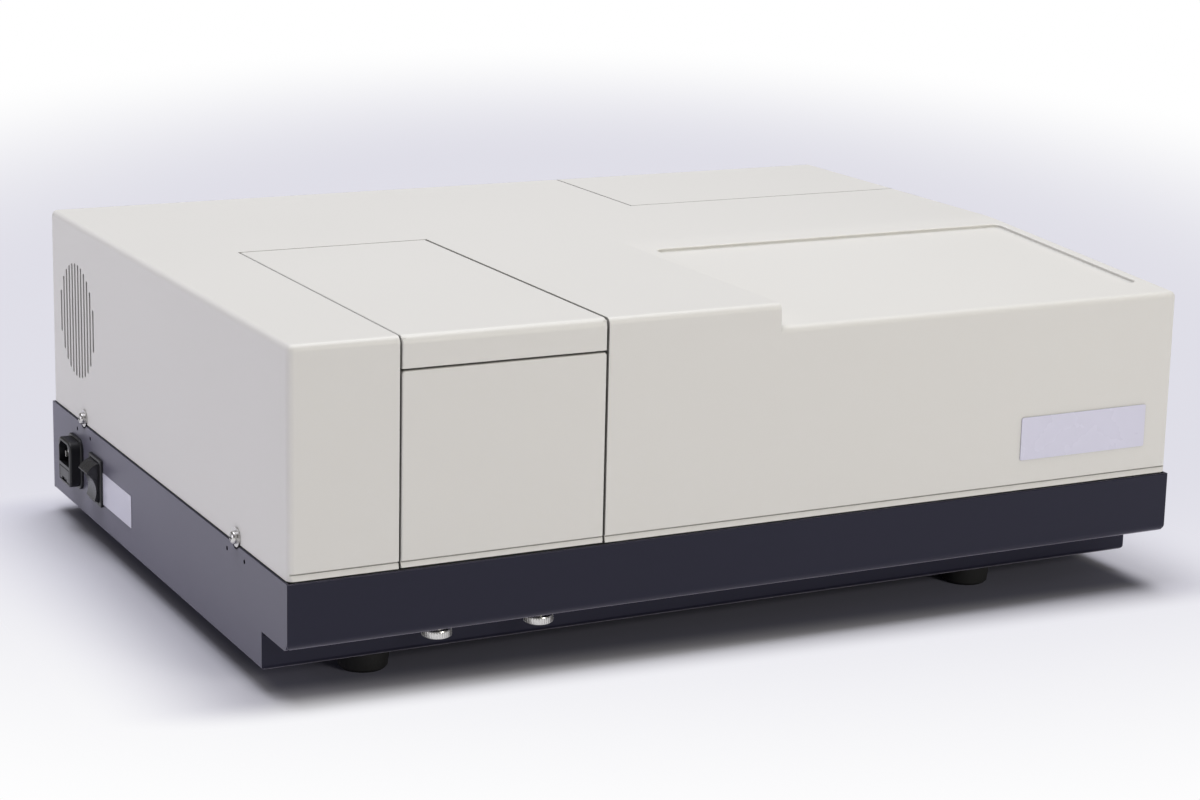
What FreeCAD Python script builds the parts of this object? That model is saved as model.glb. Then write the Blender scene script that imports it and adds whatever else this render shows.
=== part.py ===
import FreeCAD, Part
import math
import os
from FreeCAD import Vector

# Double-beam spectrophotometer. Millimetres, +X right, +Y back, +Z up.
# The origin is the centre of the cover's footprint, on the surface the feet stand on.

# Cover and base
COVER_LENGTH = 600.0
COVER_DEPTH = 450.0
COVER_HEIGHT = 132.5
COVER_WALL = 3.0
EDGE_RADIUS = 4.0
LIP_HEIGHT = 3.3
LIP_LEAN = 0.7
GROOVE_HEIGHT = 1.0
GROOVE_DEPTH = 1.4
SEAM_GAP = 1.0
BASE_HEIGHT = 62.5
FOOT_HEIGHT = 14.0
SHEET = 1.5
BASE_PROUD = 1.0
SKIRT_HEIGHT = 39.0
PLINTH_RECESS = 39.5
BEND_RADIUS = 3.0
SKIRT_BEND = 5.0
SKIRT_CORNER = 4.5
SKIRT_FLANGE = 15.0
FLANGE_WIDTH = 20.0

# Sloping area and its pocket
STEP_FROM_LEFT = 308.0
SLOPE_DROP = 14.5
SLOPE_LENGTH = 204.0
CREASE_RADIUS = 250.0
POCKET_LEFT_MARGIN = 14.0
POCKET_RIGHT_MARGIN = 10.0
POCKET_FRONT_MARGIN = 28.0
POCKET_BACK_MARGIN = 20.0
POCKET_DEPTH = 2.4
POCKET_RADIUS = 5.0
POCKET_SOFT = 0.9

# Openings in the cover, with the pieces that close them
OPENING_FROM_LEFT = 65.5
OPENING_WIDTH = 129.0
OPENING_FROM_BACK = 189.6
LID_GAP = 1.3
LID_BACK_GAP = 1.4
LID_WALL = 2.5
LID_RADIUS = 5.0
LID_LIP = 18.4
LID_SWING = 100.0
PANEL_GAP = 1.2
SEAM_ROUND = 1.0
RETURN_DEPTH = 12.0
RETURN_WALL = 2.5
HINGE_SETBACK = 20.0
HINGE_DROP = 6.0
HINGE_PIN_RADIUS = 1.5
KNUCKLE_RADIUS = 3.4
KNUCKLE_WIDTH = 6.5
EAR_RADIUS = 3.1
LAMP_OPENING_WIDTH = 220.5
LAMP_OPENING_LENGTH = 122.5
LAMP_LIP = 60.0
LEDGE = 4.0

# Fits and clearances
RUNNING = 0.05
CLEAR = 0.3
FREE = 0.6

# Front panel and thumb screws
PANEL_RETURN = 10.0
PANEL_FLANGE = 32.0
THUMB_SPACING = 64.5
THUMB_FROM_FRONT = 20.0
THUMB_RADIUS = 8.75
THUMB_HEAD = 9.0
THUMB_SHANK = 2.5
THUMB_COLLAR = 5.0
THUMB_TIP = 3.5

# Cover screws
SCREW_FRONT = 81.5
SCREW_BACK = 71.5
SCREW_RISE = 3.5
SCREW_RADIUS = 2.0
SCREW_HEAD = 3.8
SCREW_HEAD_HEIGHT = 3.0
SCREW_LENGTH = 14.0
WASHER_RADIUS = 5.75
WASHER_THICKNESS = 1.0
SCOOP_MARGIN = 1.25
SPARE_HOLE_OFFSET = 14.5
SPARE_HOLE_DROP = 6.0
SPARE_HOLE_RADIUS = 1.4
LUG_WIDTH = 20.0
LUG_DEPTH = 10.0
LUG_HEIGHT = 10.0

# Feet
FOOT_FRONT_INSET = 63.0
FOOT_BACK_INSET = 50.0
FOOT_LEFT_INSET = 70.0
FOOT_RIGHT_INSET = 108.0
FOOT_RADIUS = 16.0
FOOT_TAPER = 1.5
FOOT_SCREW_RADIUS = 2.0
FOOT_SCREW_HEAD = 3.8
FOOT_SCREW_HEAD_HEIGHT = 2.8
FOOT_SEAT = 8.0

# Power inlet, fuse drawer and switch, on the left wall of the base
INLET_FROM_BACK = 55.0
INLET_WIDTH = 26.5
INLET_HEIGHT = 31.0
INLET_CORNER = 5.0
INLET_EDGE = 1.4
INLET_FLANGE_MARGIN = 1.9
INLET_FLANGE = 2.0
INLET_PROUD = 9.0
INLET_BODY_DEPTH = 22.0
SOCKET_WIDTH = 22.4
SOCKET_HEIGHT = 15.0
SOCKET_DEPTH = 16.0
SOCKET_CHAMFER = 4.0
SOCKET_RISE = 6.0
BLADE_WIDTH = 2.0
BLADE_HEIGHT = 4.0
BLADE_SPREAD = 6.5
BLADE_DROP = 2.0
BLADE_START = 3.0
BLADE_END = 22.0
EARTH_RISE = 2.5
DRAWER_WIDTH = 21.0
DRAWER_HEIGHT = 9.0
DRAWER_DROP = 8.5
DRAWER_DEPTH = 24.0
FUSE_RADIUS = 2.5
FUSE_LENGTH = 19.0
SWITCH_FROM_BACK = 100.5
SWITCH_FLANGE_WIDTH = 26.5
SWITCH_FLANGE_HEIGHT = 32.0
SWITCH_FLANGE = 2.0
SWITCH_WALL = 0.9
PADDLE_REACH = 9.8
PADDLE_RISE = 9.6
PADDLE_WIDTH = 18.4
PADDLE_TILT = 15.0
PADDLE_VALLEY = 3.4
PIVOT_DEPTH = 1.8
TRUNNION_RADIUS = 1.5
TRUNNION_LENGTH = 1.2
SWITCH_BODY_DEPTH = 19.0
INLET_HEIGHT_ABOVE_PAN = 33.75
SWITCH_HEIGHT_ABOVE_PAN = 32.3

# Data port on the back
PORT_FROM_LEFT = 150.0
PORT_HEIGHT_ABOVE_PAN = 31.0
PORT_WIDTH = 31.0
PORT_HEIGHT = 12.5
PORT_SHELL_WIDTH = 18.6
PORT_SHELL_HEIGHT = 9.6
PORT_SHELL_PROUD = 4.5
PORT_SCREW_SPREAD = 12.5
PORT_SCREW_RADIUS = 2.9
PORT_SCREW_LENGTH = 4.0

# Fan behind the slots
FAN_FROM_BACK = 58.0
FAN_RISE = 67.0
FAN_SIZE = 80.0
FAN_DEPTH = 25.0
FAN_BORE = 38.0
FAN_HUB = 15.0
FAN_BOSS = 5.0
FAN_SPOKE = 4.0
FAN_SCREW_INSET = 4.2
FAN_SCREW_HOLE = 2.2
FAN_FACE_GAP = 1.0
FAN_ROTOR_DEPTH = 17.0
FAN_BLADES = 7
FAN_BLADE = 1.4
BLADE_CHORD = 13.0
BLADE_TIP_CHORD = 19.5
BLADE_ROOT_LEAN = 50.0
BLADE_TIP_LEAN = 28.0
FAN_BRACKET_FOOT = 18.0
FAN_TIP_CLEARANCE = 1.2
FAN_SHAFT = 1.5
SLOT_COUNT = 12
SLOT_PITCH = 6.5
SLOT_WIDTH = 3.0
SLOT_FIELD = 38.5

# Optical bench
BENCH_THICKNESS = 8.0
BENCH_INSET = 1.8
BENCH_POCKET = 4.0
BENCH_RIB = 10.0
PILLAR_RADIUS = 7.0
PILLAR_INSET = 30.0
MOTOR_GAP = 5.0
BEAM_RISE = 29.5
REFERENCE_BEAM_FROM_BACK = 240.0
BEAM_SPACING = 100.0
LINER_TOP_DROP = 14.0
WINDOW_RADIUS = 11.0
WINDOW_RIM = 2.0
WINDOW_THICKNESS = 2.0
SEAL_HEIGHT = 2.6
SEAL_WIDTH = 2.5
RAIL_THICKNESS = 5.0
HOLDER_SIZE = 30.0
HOLDER_HEIGHT = 50.0
WELL_SIZE = 12.6
WELL_FLOOR = 8.0
APERTURE_RADIUS = 4.0

# Light source
LAMP_AXIS_FROM_RIGHT = 120.0
LAMP_AXIS_FROM_BACK = 75.0
LAMP_HOUSE_MARGIN = 8.0
LAMP_HOUSE_FROM_RIGHT = 28.5
HOUSE_VENTS = 9
HOUSE_VENT_START = 30.0
HOUSE_VENT_PITCH = 14.0
HOUSE_VENT_WIDTH = 6.0
HOUSE_VENT_LOW = 40.0
HOUSE_VENT_HIGH = 12.0
LAMP_HOUSE_TOP_DROP = 22.0
LAMP_SPREAD = 55.0
LAMP_RADIUS = 15.0
LAMP_BODY = 55.0
LAMP_FLANGE_RADIUS = 21.0
LAMP_FLANGE = 9.0
BULB_RADIUS = 6.0
SOURCE_MIRROR = 24.0
MOTOR_SMALL = 28.0
MOTOR_LARGE = 42.0
MOTOR_LENGTH = 30.0
SHAFT_RADIUS = 3.0

# Monochromator, filter wheel and chopper
MONO_WIDTH = 223.0
FILTER_SPACE = 32.5
MONO_HEIGHT = 86.0
MONO_WALL = 4.0
MONO_FROM_RIGHT = 15.0
MONO_FROM_FRONT = 20.0
MONO_COVER = 2.0
MIRROR_RADIUS = 22.0
MIRROR_THICKNESS = 10.0
MIRROR_SAGITTA = 1.5
MIRROR_SPACING = 50.0
GRATING_SIZE = 50.0
GRATING_THICKNESS = 10.0
GRATING_TABLE = 28.0
GRATING_FROM_LEFT = 50.0
GRATING_BEHIND_SAMPLE = 15.0
SLIT_RADIUS = 12.0
SLIT_WIDTH = 1.5
SLIT_LENGTH = 8.0
WHEEL_RADIUS = 27.0
WHEEL_THICKNESS = 4.0
WHEEL_CIRCLE = 18.0
WHEEL_PORT = 5.5
WHEEL_PORTS = 6
CHOPPER_RADIUS = 40.0
CHOPPER_OFFSET = 27.0
CHOPPER_THICKNESS = 2.0
CHOPPER_FROM_MONO = 52.0

# Detectors and electronics
DETECTOR_SIZE = 34.0
DETECTOR_HEIGHT = 58.0
DETECTOR_TUBE = 9.0
DETECTOR_TO_LINER = 32.0
BOARD = 1.6
BOARD_RISE = 6.0
BOARD_FROM_LEFT = 270.0
BOARD_FROM_RIGHT = 60.0
BOARD_FROM_FRONT = 130.0
BOARD_FROM_BACK = 160.0
AMPLIFIER_WIDTH = 40.0
AMPLIFIER_LENGTH = 60.0
AMPLIFIER_BEHIND_BEAM = 30.0
TALLEST_PART = 12.0
STANDOFF_RADIUS = 3.0
STANDOFF_INSET = 6.0
VENT_COUNT = 9
VENT_PITCH = 14.0
VENT_WIDTH = 4.0
VENT_LENGTH = 60.0
VENT_FROM_LEFT = 300.0
SUPPLY_FROM_LEFT = 85.0
SUPPLY_FROM_BACK = 30.0
SUPPLY_LENGTH = 150.0
SUPPLY_WIDTH = 95.0
SUPPLY_HEIGHT = 38.0
TRANSFORMER = 48.0

# Levels and faces that follow from the sizes above
LEFT = -COVER_LENGTH / 2
RIGHT = COVER_LENGTH / 2
FRONT = -COVER_DEPTH / 2
BACK = COVER_DEPTH / 2
PAN_BOTTOM = FOOT_HEIGHT
PAN_TOP = PAN_BOTTOM + SHEET
BASE_TOP = PAN_BOTTOM + BASE_HEIGHT
SEAT = BASE_TOP + SEAM_GAP
TOP = SEAT + COVER_HEIGHT
ROOF = TOP - COVER_WALL
SKIRT_BOTTOM = BASE_TOP - SKIRT_HEIGHT
PLINTH_TOP = SKIRT_BOTTOM - BEND_RADIUS
BENCH_BOTTOM = SEAT - BENCH_THICKNESS
BEAM = SEAT + BEAM_RISE
PLINTH_FRONT = FRONT + PLINTH_RECESS
STEP_X = LEFT + STEP_FROM_LEFT
CREASE_Y = FRONT + SLOPE_LENGTH
SLOPE_FRONT = TOP - SLOPE_DROP
OPEN_LEFT = LEFT + OPENING_FROM_LEFT
OPEN_RIGHT = OPEN_LEFT + OPENING_WIDTH
OPEN_BACK = BACK - OPENING_FROM_BACK
OPEN_MID = (OPEN_LEFT + OPEN_RIGHT) / 2
LID_BACK = OPEN_BACK - LID_BACK_GAP
HINGE_Y = LID_BACK - HINGE_SETBACK
HINGE_Z = TOP - HINGE_DROP
LAMP_LEFT = RIGHT - LAMP_OPENING_WIDTH
LAMP_FRONT = BACK - LAMP_OPENING_LENGTH
REFERENCE_Y = BACK - REFERENCE_BEAM_FROM_BACK
SAMPLE_Y = REFERENCE_Y - BEAM_SPACING
LINER_LEFT = OPEN_LEFT + LID_GAP + FREE
LINER_RIGHT = OPEN_RIGHT - LID_GAP - FREE
LINER_FRONT = FRONT + COVER_WALL + PANEL_RETURN + FREE
LINER_BACK = OPEN_BACK + SHEET
LINER_TOP = TOP - LINER_TOP_DROP
MONO_RIGHT = RIGHT - MONO_FROM_RIGHT
MONO_LEFT = MONO_RIGHT - MONO_WIDTH
MONO_FRONT = FRONT + MONO_FROM_FRONT
MONO_BACK = LAMP_FRONT + LAMP_HOUSE_MARGIN - FILTER_SPACE
LAMP_AXIS_X = RIGHT - LAMP_AXIS_FROM_RIGHT
LAMP_AXIS_Y = BACK - LAMP_AXIS_FROM_BACK
CHOPPER_X = MONO_LEFT - CHOPPER_FROM_MONO
CHOPPER_AXIS = Vector(1, -1, 0).normalize()
WALL_FACE = LEFT - BASE_PROUD

X = Vector(1, 0, 0)
Y = Vector(0, 1, 0)
Z = Vector(0, 0, 1)


def block(x0, x1, y0, y1, z0, z1):
    """Box between two corners."""
    return Part.makeBox(x1 - x0, y1 - y0, z1 - z0, Vector(x0, y0, z0))


def centred(x, y, z0, width, depth, height):
    """Box standing at z0 over the point x, y."""
    return block(x - width / 2, x + width / 2, y - depth / 2, y + depth / 2, z0, z0 + height)


def rod(radius, start, direction, length):
    """Round bar from a start point along a direction."""
    return Part.makeCylinder(radius, length, start, direction)


def rounded(shape, radius, wanted):
    """The shape with the wanted edges rounded."""
    return shape.makeFillet(radius, [edge for edge in shape.Edges if wanted(edge)])


def along(edge, axis):
    """True for a straight edge parallel to the axis."""
    first, last = edge.Vertexes[0].Point, edge.Vertexes[-1].Point
    span = last - first
    return span.Length > 0 and abs(span.dot(axis)) > 0.9999 * span.Length


def soft_block(x0, x1, y0, y1, z0, z1, radius, axis):
    """Box with its four edges along the axis rounded."""
    return rounded(block(x0, x1, y0, y1, z0, z1), radius, lambda edge: along(edge, axis))


def outline(points):
    """Flat face bounded by straight lines."""
    return Part.Face(Part.makePolygon(points + [points[0]]))


def bent_path(points, radii):
    """Open wire through the points, with a tangent arc at each inner one."""
    edges = []
    last = points[0]
    for before, corner, after, radius in zip(points, points[1:], points[2:], radii):
        towards = (before - corner).normalize()
        away = (after - corner).normalize()
        half = towards.getAngle(away) / 2
        start = corner + towards * (radius / math.tan(half))
        end = corner + away * (radius / math.tan(half))
        middle = corner + (towards + away).normalize() * (radius / math.sin(half) - radius)
        edges.append(Part.LineSegment(last, start).toShape())
        edges.append(Part.Arc(start, middle, end).toShape())
        last = end
    edges.append(Part.LineSegment(last, points[-1]).toShape())
    return Part.Wire(edges)


def folded_sheet(points, radii, thickness, way):
    """Sheet of constant thickness: a bent path thickened to one side and drawn out."""
    section = bent_path(points, radii).makeOffset2D(thickness, 0, True, True)
    return section.extrude(way)


def turned(points, base, axis):
    """Solid of revolution of a profile given as (radius, height) pairs."""
    face = outline([Vector(radius, 0, height) for radius, height in points])
    solid = face.revolve(Vector(0, 0, 0), Z, 360)
    solid.Placement = FreeCAD.Placement(base, FreeCAD.Rotation(Z, axis))
    return solid


def fused(shapes):
    """One solid from touching or overlapping ones."""
    whole = shapes[0]
    for shape in shapes[1:]:
        whole = whole.fuse(shape)
    return whole.removeSplitter()


def pierced(shape, tools):
    """The shape less all the tools."""
    for tool in tools:
        shape = shape.cut(tool)
    return shape


def group(shapes):
    """Separate solids kept in one node."""
    return Part.makeCompound(shapes)


def screw_places():
    """Cover screws as (y, side), where side is -1 at the left and 1 at the right."""
    return [(y, side) for side in (-1, 1) for y in (FRONT + SCREW_FRONT, BACK - SCREW_BACK)]


def thumb_places():
    """Centres of the two thumb screws."""
    return [
        Vector(OPEN_MID + side * THUMB_SPACING / 2, FRONT + THUMB_FROM_FRONT, 0)
        for side in (-1, 1)
    ]


def foot_places():
    """Centres of the four feet."""
    return [
        Vector(x, y, 0)
        for x in (LEFT + FOOT_LEFT_INSET, RIGHT - FOOT_RIGHT_INSET)
        for y in (FRONT + FOOT_FRONT_INSET, BACK - FOOT_BACK_INSET)
    ]


# The outer cover

def slope_at(y, drop):
    """Height of the sloping surface at a depth, lowered by a drop."""
    return SLOPE_FRONT + (y - FRONT) * SLOPE_DROP / SLOPE_LENGTH - drop


def sloped_part(x0, x1, y0, y1, z0, roof, drop):
    """Block whose top slopes down to the front, with a soft crease."""
    lean = math.atan2(SLOPE_DROP, SLOPE_LENGTH)
    reach = CREASE_RADIUS * math.tan(lean / 2)
    crease = Vector(x0, CREASE_Y, slope_at(CREASE_Y, drop))
    low = crease - Vector(0, math.cos(lean), math.sin(lean)) * reach
    high = crease + Y * reach
    middle = Vector(x0, CREASE_Y, crease.z - CREASE_RADIUS * (1 / math.cos(lean / 2) - 1))
    corners = [
        Vector(x0, y1, crease.z),
        Vector(x0, y1, z0),
        Vector(x0, y0, z0),
        Vector(x0, y0, slope_at(y0, drop)),
    ]
    edges = [Part.LineSegment(high, corners[0]).toShape()]
    edges += [Part.LineSegment(a, b).toShape() for a, b in zip(corners, corners[1:])]
    edges.append(Part.LineSegment(corners[-1], low).toShape())
    edges.append(Part.Arc(low, middle, high).toShape())
    body = Part.Face(Part.Wire(edges)).extrude(X * (x1 - x0))
    if roof > crease.z:
        body = body.fuse(block(x0, x1, CREASE_Y, y1, z0, roof))
    return body


def lip_groove():
    """Cutter for the shadow line above the cover's leaning front lip."""
    shoulder = SEAT + LIP_HEIGHT
    return outline([
        Vector(LEFT - 1, FRONT - 1, SEAT),
        Vector(LEFT - 1, FRONT, SEAT),
        Vector(LEFT - 1, FRONT + LIP_LEAN, shoulder),
        Vector(LEFT - 1, FRONT + GROOVE_DEPTH, shoulder),
        Vector(LEFT - 1, FRONT + GROOVE_DEPTH, shoulder + GROOVE_HEIGHT),
        Vector(LEFT - 1, FRONT - 1, shoulder + GROOVE_HEIGHT),
    ]).extrude(X * (COVER_LENGTH + 2))


def cover_skin():
    """Outer form of the cover, solid, with its rounded edges and grooved front."""
    flat = block(LEFT, STEP_X, FRONT, BACK, SEAT, TOP)
    slope = sloped_part(STEP_X, RIGHT, FRONT, BACK, SEAT, TOP, 0)
    body = fused([flat, slope])

    def on_rim(edge):
        """Upright corner, or an edge of the top that lies on an outer face."""
        middle = edge.valueAt((edge.FirstParameter + edge.LastParameter) / 2)
        beside = abs(abs(middle.x) - RIGHT) < 0.01
        ahead = abs(abs(middle.y) - BACK) < 0.01
        if along(edge, Z):
            return beside and ahead
        return middle.z > SEAT + LIP_HEIGHT and (beside or ahead)

    return rounded(body, EDGE_RADIUS, on_rim).cut(lip_groove())


def cover_hollow():
    """Space inside the cover, thicker under the sloping area to leave room for its pocket."""
    left = LEFT + COVER_WALL
    right = RIGHT - COVER_WALL
    front = FRONT + COVER_WALL
    back = BACK - COVER_WALL
    under = SEAT - 1
    flat = block(left, STEP_X - COVER_WALL, front, back, under, ROOF)
    slope = sloped_part(
        STEP_X - COVER_WALL, right, front, back, under, ROOF, COVER_WALL + POCKET_DEPTH
    )
    return rounded(
        fused([flat, slope]), EDGE_RADIUS - COVER_WALL,
        lambda edge: along(edge, Z) and abs(edge.BoundBox.ZLength) > COVER_HEIGHT / 2,
    )


def slope_pocket():
    """Cutter for the shallow pocket, with a soft-edged floor parallel to the slope."""
    x0 = STEP_X + POCKET_LEFT_MARGIN
    x1 = RIGHT - POCKET_RIGHT_MARGIN
    y0 = FRONT + POCKET_FRONT_MARGIN
    y1 = CREASE_Y - POCKET_BACK_MARGIN
    floor = outline([
        Vector(x0, y0, slope_at(y0, POCKET_DEPTH)),
        Vector(x0, y1, slope_at(y1, POCKET_DEPTH)),
        Vector(x0, y1, TOP + 1),
        Vector(x0, y0, TOP + 1),
    ]).extrude(X * (x1 - x0))
    pocket = rounded(floor, POCKET_RADIUS, lambda edge: along(edge, Z))
    return rounded(pocket, POCKET_SOFT, lambda edge: edge.BoundBox.ZMax < TOP)


def on_pocket_rim(edge):
    """True for an edge where the pocket meets the sloping surface."""
    box = edge.BoundBox
    middle = edge.valueAt((edge.FirstParameter + edge.LastParameter) / 2)
    inside_x = box.XMin > STEP_X + POCKET_LEFT_MARGIN - 1 and box.XMax < RIGHT - POCKET_RIGHT_MARGIN + 1
    inside_y = box.YMin > FRONT + POCKET_FRONT_MARGIN - 1 and box.YMax < CREASE_Y
    return inside_x and inside_y and abs(middle.z - slope_at(middle.y, 0)) < 0.01


def fan_slots():
    """Upright slots that together fill a circle in front of the fan."""
    centre_y = BACK - FAN_FROM_BACK
    centre_z = SEAT + FAN_RISE
    slots = []
    for index in range(SLOT_COUNT):
        offset = (index - (SLOT_COUNT - 1) / 2) * SLOT_PITCH
        half = math.sqrt(SLOT_FIELD ** 2 - offset ** 2)
        y = centre_y + offset
        slots.append(soft_block(
            LEFT - 1, LEFT + COVER_WALL + 1, y - SLOT_WIDTH / 2, y + SLOT_WIDTH / 2,
            centre_z - half, centre_z + half, SLOT_WIDTH / 2.1, X,
        ))
    return slots


def opening_returns():
    """Turned-in walls that stiffen the cover round its two openings."""
    low = ROOF - RETURN_DEPTH
    high = ROOF + COVER_WALL / 2
    post_front = FRONT + COVER_WALL - 0.5
    post_back = FRONT + COVER_WALL + RETURN_DEPTH
    walls = [
        block(OPEN_LEFT - RETURN_WALL, OPEN_RIGHT + RETURN_WALL, OPEN_BACK,
              OPEN_BACK + RETURN_WALL, low, high),
    ]
    for x in (OPEN_LEFT - RETURN_WALL, OPEN_RIGHT):
        walls.append(block(x, x + RETURN_WALL, post_front, OPEN_BACK + RETURN_WALL, low, high))
        walls.append(block(x, x + RETURN_WALL, post_front, post_back, SEAT, high))
    inside_back = BACK - COVER_WALL / 2
    inside_right = RIGHT - COVER_WALL / 2
    ledge_back = BACK - EDGE_RADIUS - CLEAR
    ledge_right = RIGHT - EDGE_RADIUS - CLEAR
    shelf = TOP - LID_WALL - CLEAR
    walls += [
        block(LAMP_LEFT - RETURN_WALL, LAMP_LEFT, LAMP_FRONT, inside_back, low, high),
        block(LAMP_LEFT - RETURN_WALL, inside_right, LAMP_FRONT - RETURN_WALL, LAMP_FRONT,
              low, high),
        block(LAMP_LEFT - RETURN_WALL, LAMP_LEFT + LEDGE, LAMP_FRONT, ledge_back,
              shelf - LEDGE, shelf),
        block(LAMP_LEFT - RETURN_WALL, ledge_right, LAMP_FRONT - RETURN_WALL,
              LAMP_FRONT + LEDGE, shelf - LEDGE, shelf),
    ]
    return walls


def top_cover():
    """Painted cover: a thin shell with its openings, pocket, fan slots and screw holes."""
    shell = cover_skin().cut(cover_hollow())
    shell = shell.cut(block(OPEN_LEFT, OPEN_RIGHT, FRONT - 1, OPEN_BACK, SEAT - 1, TOP + 1))
    shell = shell.cut(block(
        LAMP_LEFT, RIGHT + 1, LAMP_FRONT, BACK + 1, TOP - LAMP_LIP - PANEL_GAP, TOP + 1,
    ))
    shell = rounded(shell.cut(slope_pocket()), POCKET_SOFT, on_pocket_rim)
    shell = fused([shell] + opening_returns())
    holes = fan_slots()
    for y, side in screw_places():
        start = Vector(side * (RIGHT + 1), y, SEAT + SCREW_RISE)
        holes.append(rod(SCREW_RADIUS + CLEAR, start, X * -side, COVER_WALL + 2))
    return pierced(shell, holes)


def compartment_lid():
    """L-shaped lid with a rounded front edge, side returns and two hinge knuckles."""
    x0 = OPEN_LEFT + LID_GAP
    x1 = OPEN_RIGHT - LID_GAP
    outer = bent_path(
        [Vector(x0, LID_BACK, TOP), Vector(x0, FRONT, TOP), Vector(x0, FRONT, TOP - LID_LIP)],
        [LID_RADIUS],
    )
    shell = outer.makeOffset2D(-LID_WALL, 0, True, True).extrude(X * (x1 - x0))
    shell = rounded(
        shell, SEAM_ROUND,
        lambda edge: on_lid_skin(edge, x0) or on_lid_skin(edge, x1),
    )
    parts = [shell]
    low = LINER_TOP + SEAL_HEIGHT + CLEAR
    for x in (x0, x1 - LID_WALL):
        parts.append(block(
            x, x + LID_WALL, FRONT + LID_WALL / 2, HINGE_Y - HINGE_SETBACK, low, TOP - LID_WALL / 2,
        ))
    shaft = []
    for x in knuckle_places():
        centre = Vector(x, HINGE_Y, HINGE_Z)
        parts.append(rod(KNUCKLE_RADIUS, centre, X, KNUCKLE_WIDTH))
        parts.append(block(
            x, x + KNUCKLE_WIDTH, HINGE_Y - KNUCKLE_RADIUS, HINGE_Y + KNUCKLE_RADIUS,
            HINGE_Z, TOP - LID_WALL / 2,
        ))
        shaft.append(rod(HINGE_PIN_RADIUS + RUNNING, centre - X, X, KNUCKLE_WIDTH + 2))
    return pierced(fused(parts), shaft)


def on_lid_skin(edge, x):
    """True for an end edge that lies on the lid's outer skin."""
    box = edge.BoundBox
    if box.XLength > 0.01 or abs(box.XMin - x) > 0.01:
        return False
    on_top = box.ZMax > TOP - 0.01 and box.YLength > LID_WALL + 1
    on_front = box.YMin < FRONT + 0.01 and box.ZLength > LID_WALL
    return on_top or on_front


def knuckle_places():
    """Left end of each lid knuckle."""
    return [
        LINER_LEFT + SHEET + FREE,
        LINER_RIGHT - SHEET - FREE - KNUCKLE_WIDTH,
    ]


def lid_hinge_pins():
    """Two headed pins that carry the lid in the liner's ears."""
    reach = SHEET + FREE + KNUCKLE_WIDTH
    pins = []
    for x, side in ((LINER_LEFT, 1), (LINER_RIGHT, -1)):
        centre = Vector(x, HINGE_Y, HINGE_Z)
        pins.append(fused([
            rod(HINGE_PIN_RADIUS, centre, X * side, reach + 1),
            rod(HINGE_PIN_RADIUS + 1, centre - X * side, X * side, 1),
        ]))
    return group(pins)


def front_panel():
    """Removable panel with turned-in sides and a slotted bottom flange."""
    x0 = OPEN_LEFT + LID_GAP
    x1 = OPEN_RIGHT - LID_GAP
    bottom = SEAT + CLEAR
    top = TOP - LID_LIP - PANEL_GAP
    inner = FRONT + COVER_WALL
    face = block(x0, x1, FRONT, inner, bottom, top)
    face = rounded(face, SEAM_ROUND * 2, lambda edge: along(edge, Y) and edge.BoundBox.ZMin > top - 1)
    face = rounded(face, SEAM_ROUND, on_panel_front)
    fold = inner - 1
    edge_back = FRONT + COVER_WALL + PANEL_RETURN
    low = SEAT + LIP_HEIGHT + SEAM_ROUND * 2
    high = top - SEAM_ROUND * 2
    parts = [
        face.cut(lip_groove()),
        block(x0 + SEAM_ROUND, x0 + SEAM_ROUND + SHEET, fold, edge_back, low, high),
        block(x1 - SEAM_ROUND - SHEET, x1 - SEAM_ROUND, fold, edge_back, low, high),
        block(x0 + SEAM_ROUND, x1 - SEAM_ROUND, fold, edge_back, high - SHEET, high),
        block(LINER_LEFT + SHEET + FREE, LINER_RIGHT - SHEET - FREE, fold,
              FRONT + COVER_WALL + PANEL_FLANGE, bottom, bottom + LID_WALL),
    ]
    slots = []
    for place in thumb_places():
        half = THUMB_SHANK + FREE
        slots.append(rod(half, place + Z * (bottom - 1), Z, LID_WALL + 2))
        slots.append(block(
            place.x - half, place.x + half, place.y, FRONT + COVER_WALL + PANEL_FLANGE + 1,
            bottom - 1, bottom + LID_WALL + 1,
        ))
    return pierced(fused(parts), slots)


def on_panel_front(edge):
    """True for an edge of the panel's face, its bottom edge apart."""
    box = edge.BoundBox
    return box.YMax < FRONT + 0.01 and box.ZMax > SEAT + LIP_HEIGHT


def thumb_screw(place):
    """Knurled screw that holds the panel: a head under the skirt and a collar over the flange."""
    head_top = SKIRT_BOTTOM - CLEAR
    head_bottom = head_top - THUMB_HEAD
    flange_top = SEAT + CLEAR + LID_WALL
    rim = 0.8
    profile = [
        (0, head_bottom),
        (THUMB_RADIUS - rim, head_bottom),
        (THUMB_RADIUS, head_bottom + rim),
        (THUMB_RADIUS, head_top - rim),
        (THUMB_RADIUS - rim, head_top),
        (THUMB_SHANK, head_top),
        (THUMB_SHANK, flange_top + CLEAR),
        (THUMB_COLLAR, flange_top + CLEAR),
        (THUMB_COLLAR, flange_top + CLEAR + THUMB_TIP),
        (0, flange_top + CLEAR + THUMB_TIP + 1),
    ]
    return turned(profile, place, Z)


def lamp_cover():
    """Lift-off corner cover over the lamps, turned down at the back and right."""
    left = LAMP_LEFT + PANEL_GAP
    front = LAMP_FRONT + PANEL_GAP
    outside = corner_block(left, front, TOP - LAMP_LIP, 0, EDGE_RADIUS)
    inside = corner_block(left - 1, front - 1, TOP - LAMP_LIP - 1, LID_WALL, EDGE_RADIUS - LID_WALL)
    return outside.cut(inside)


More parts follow.
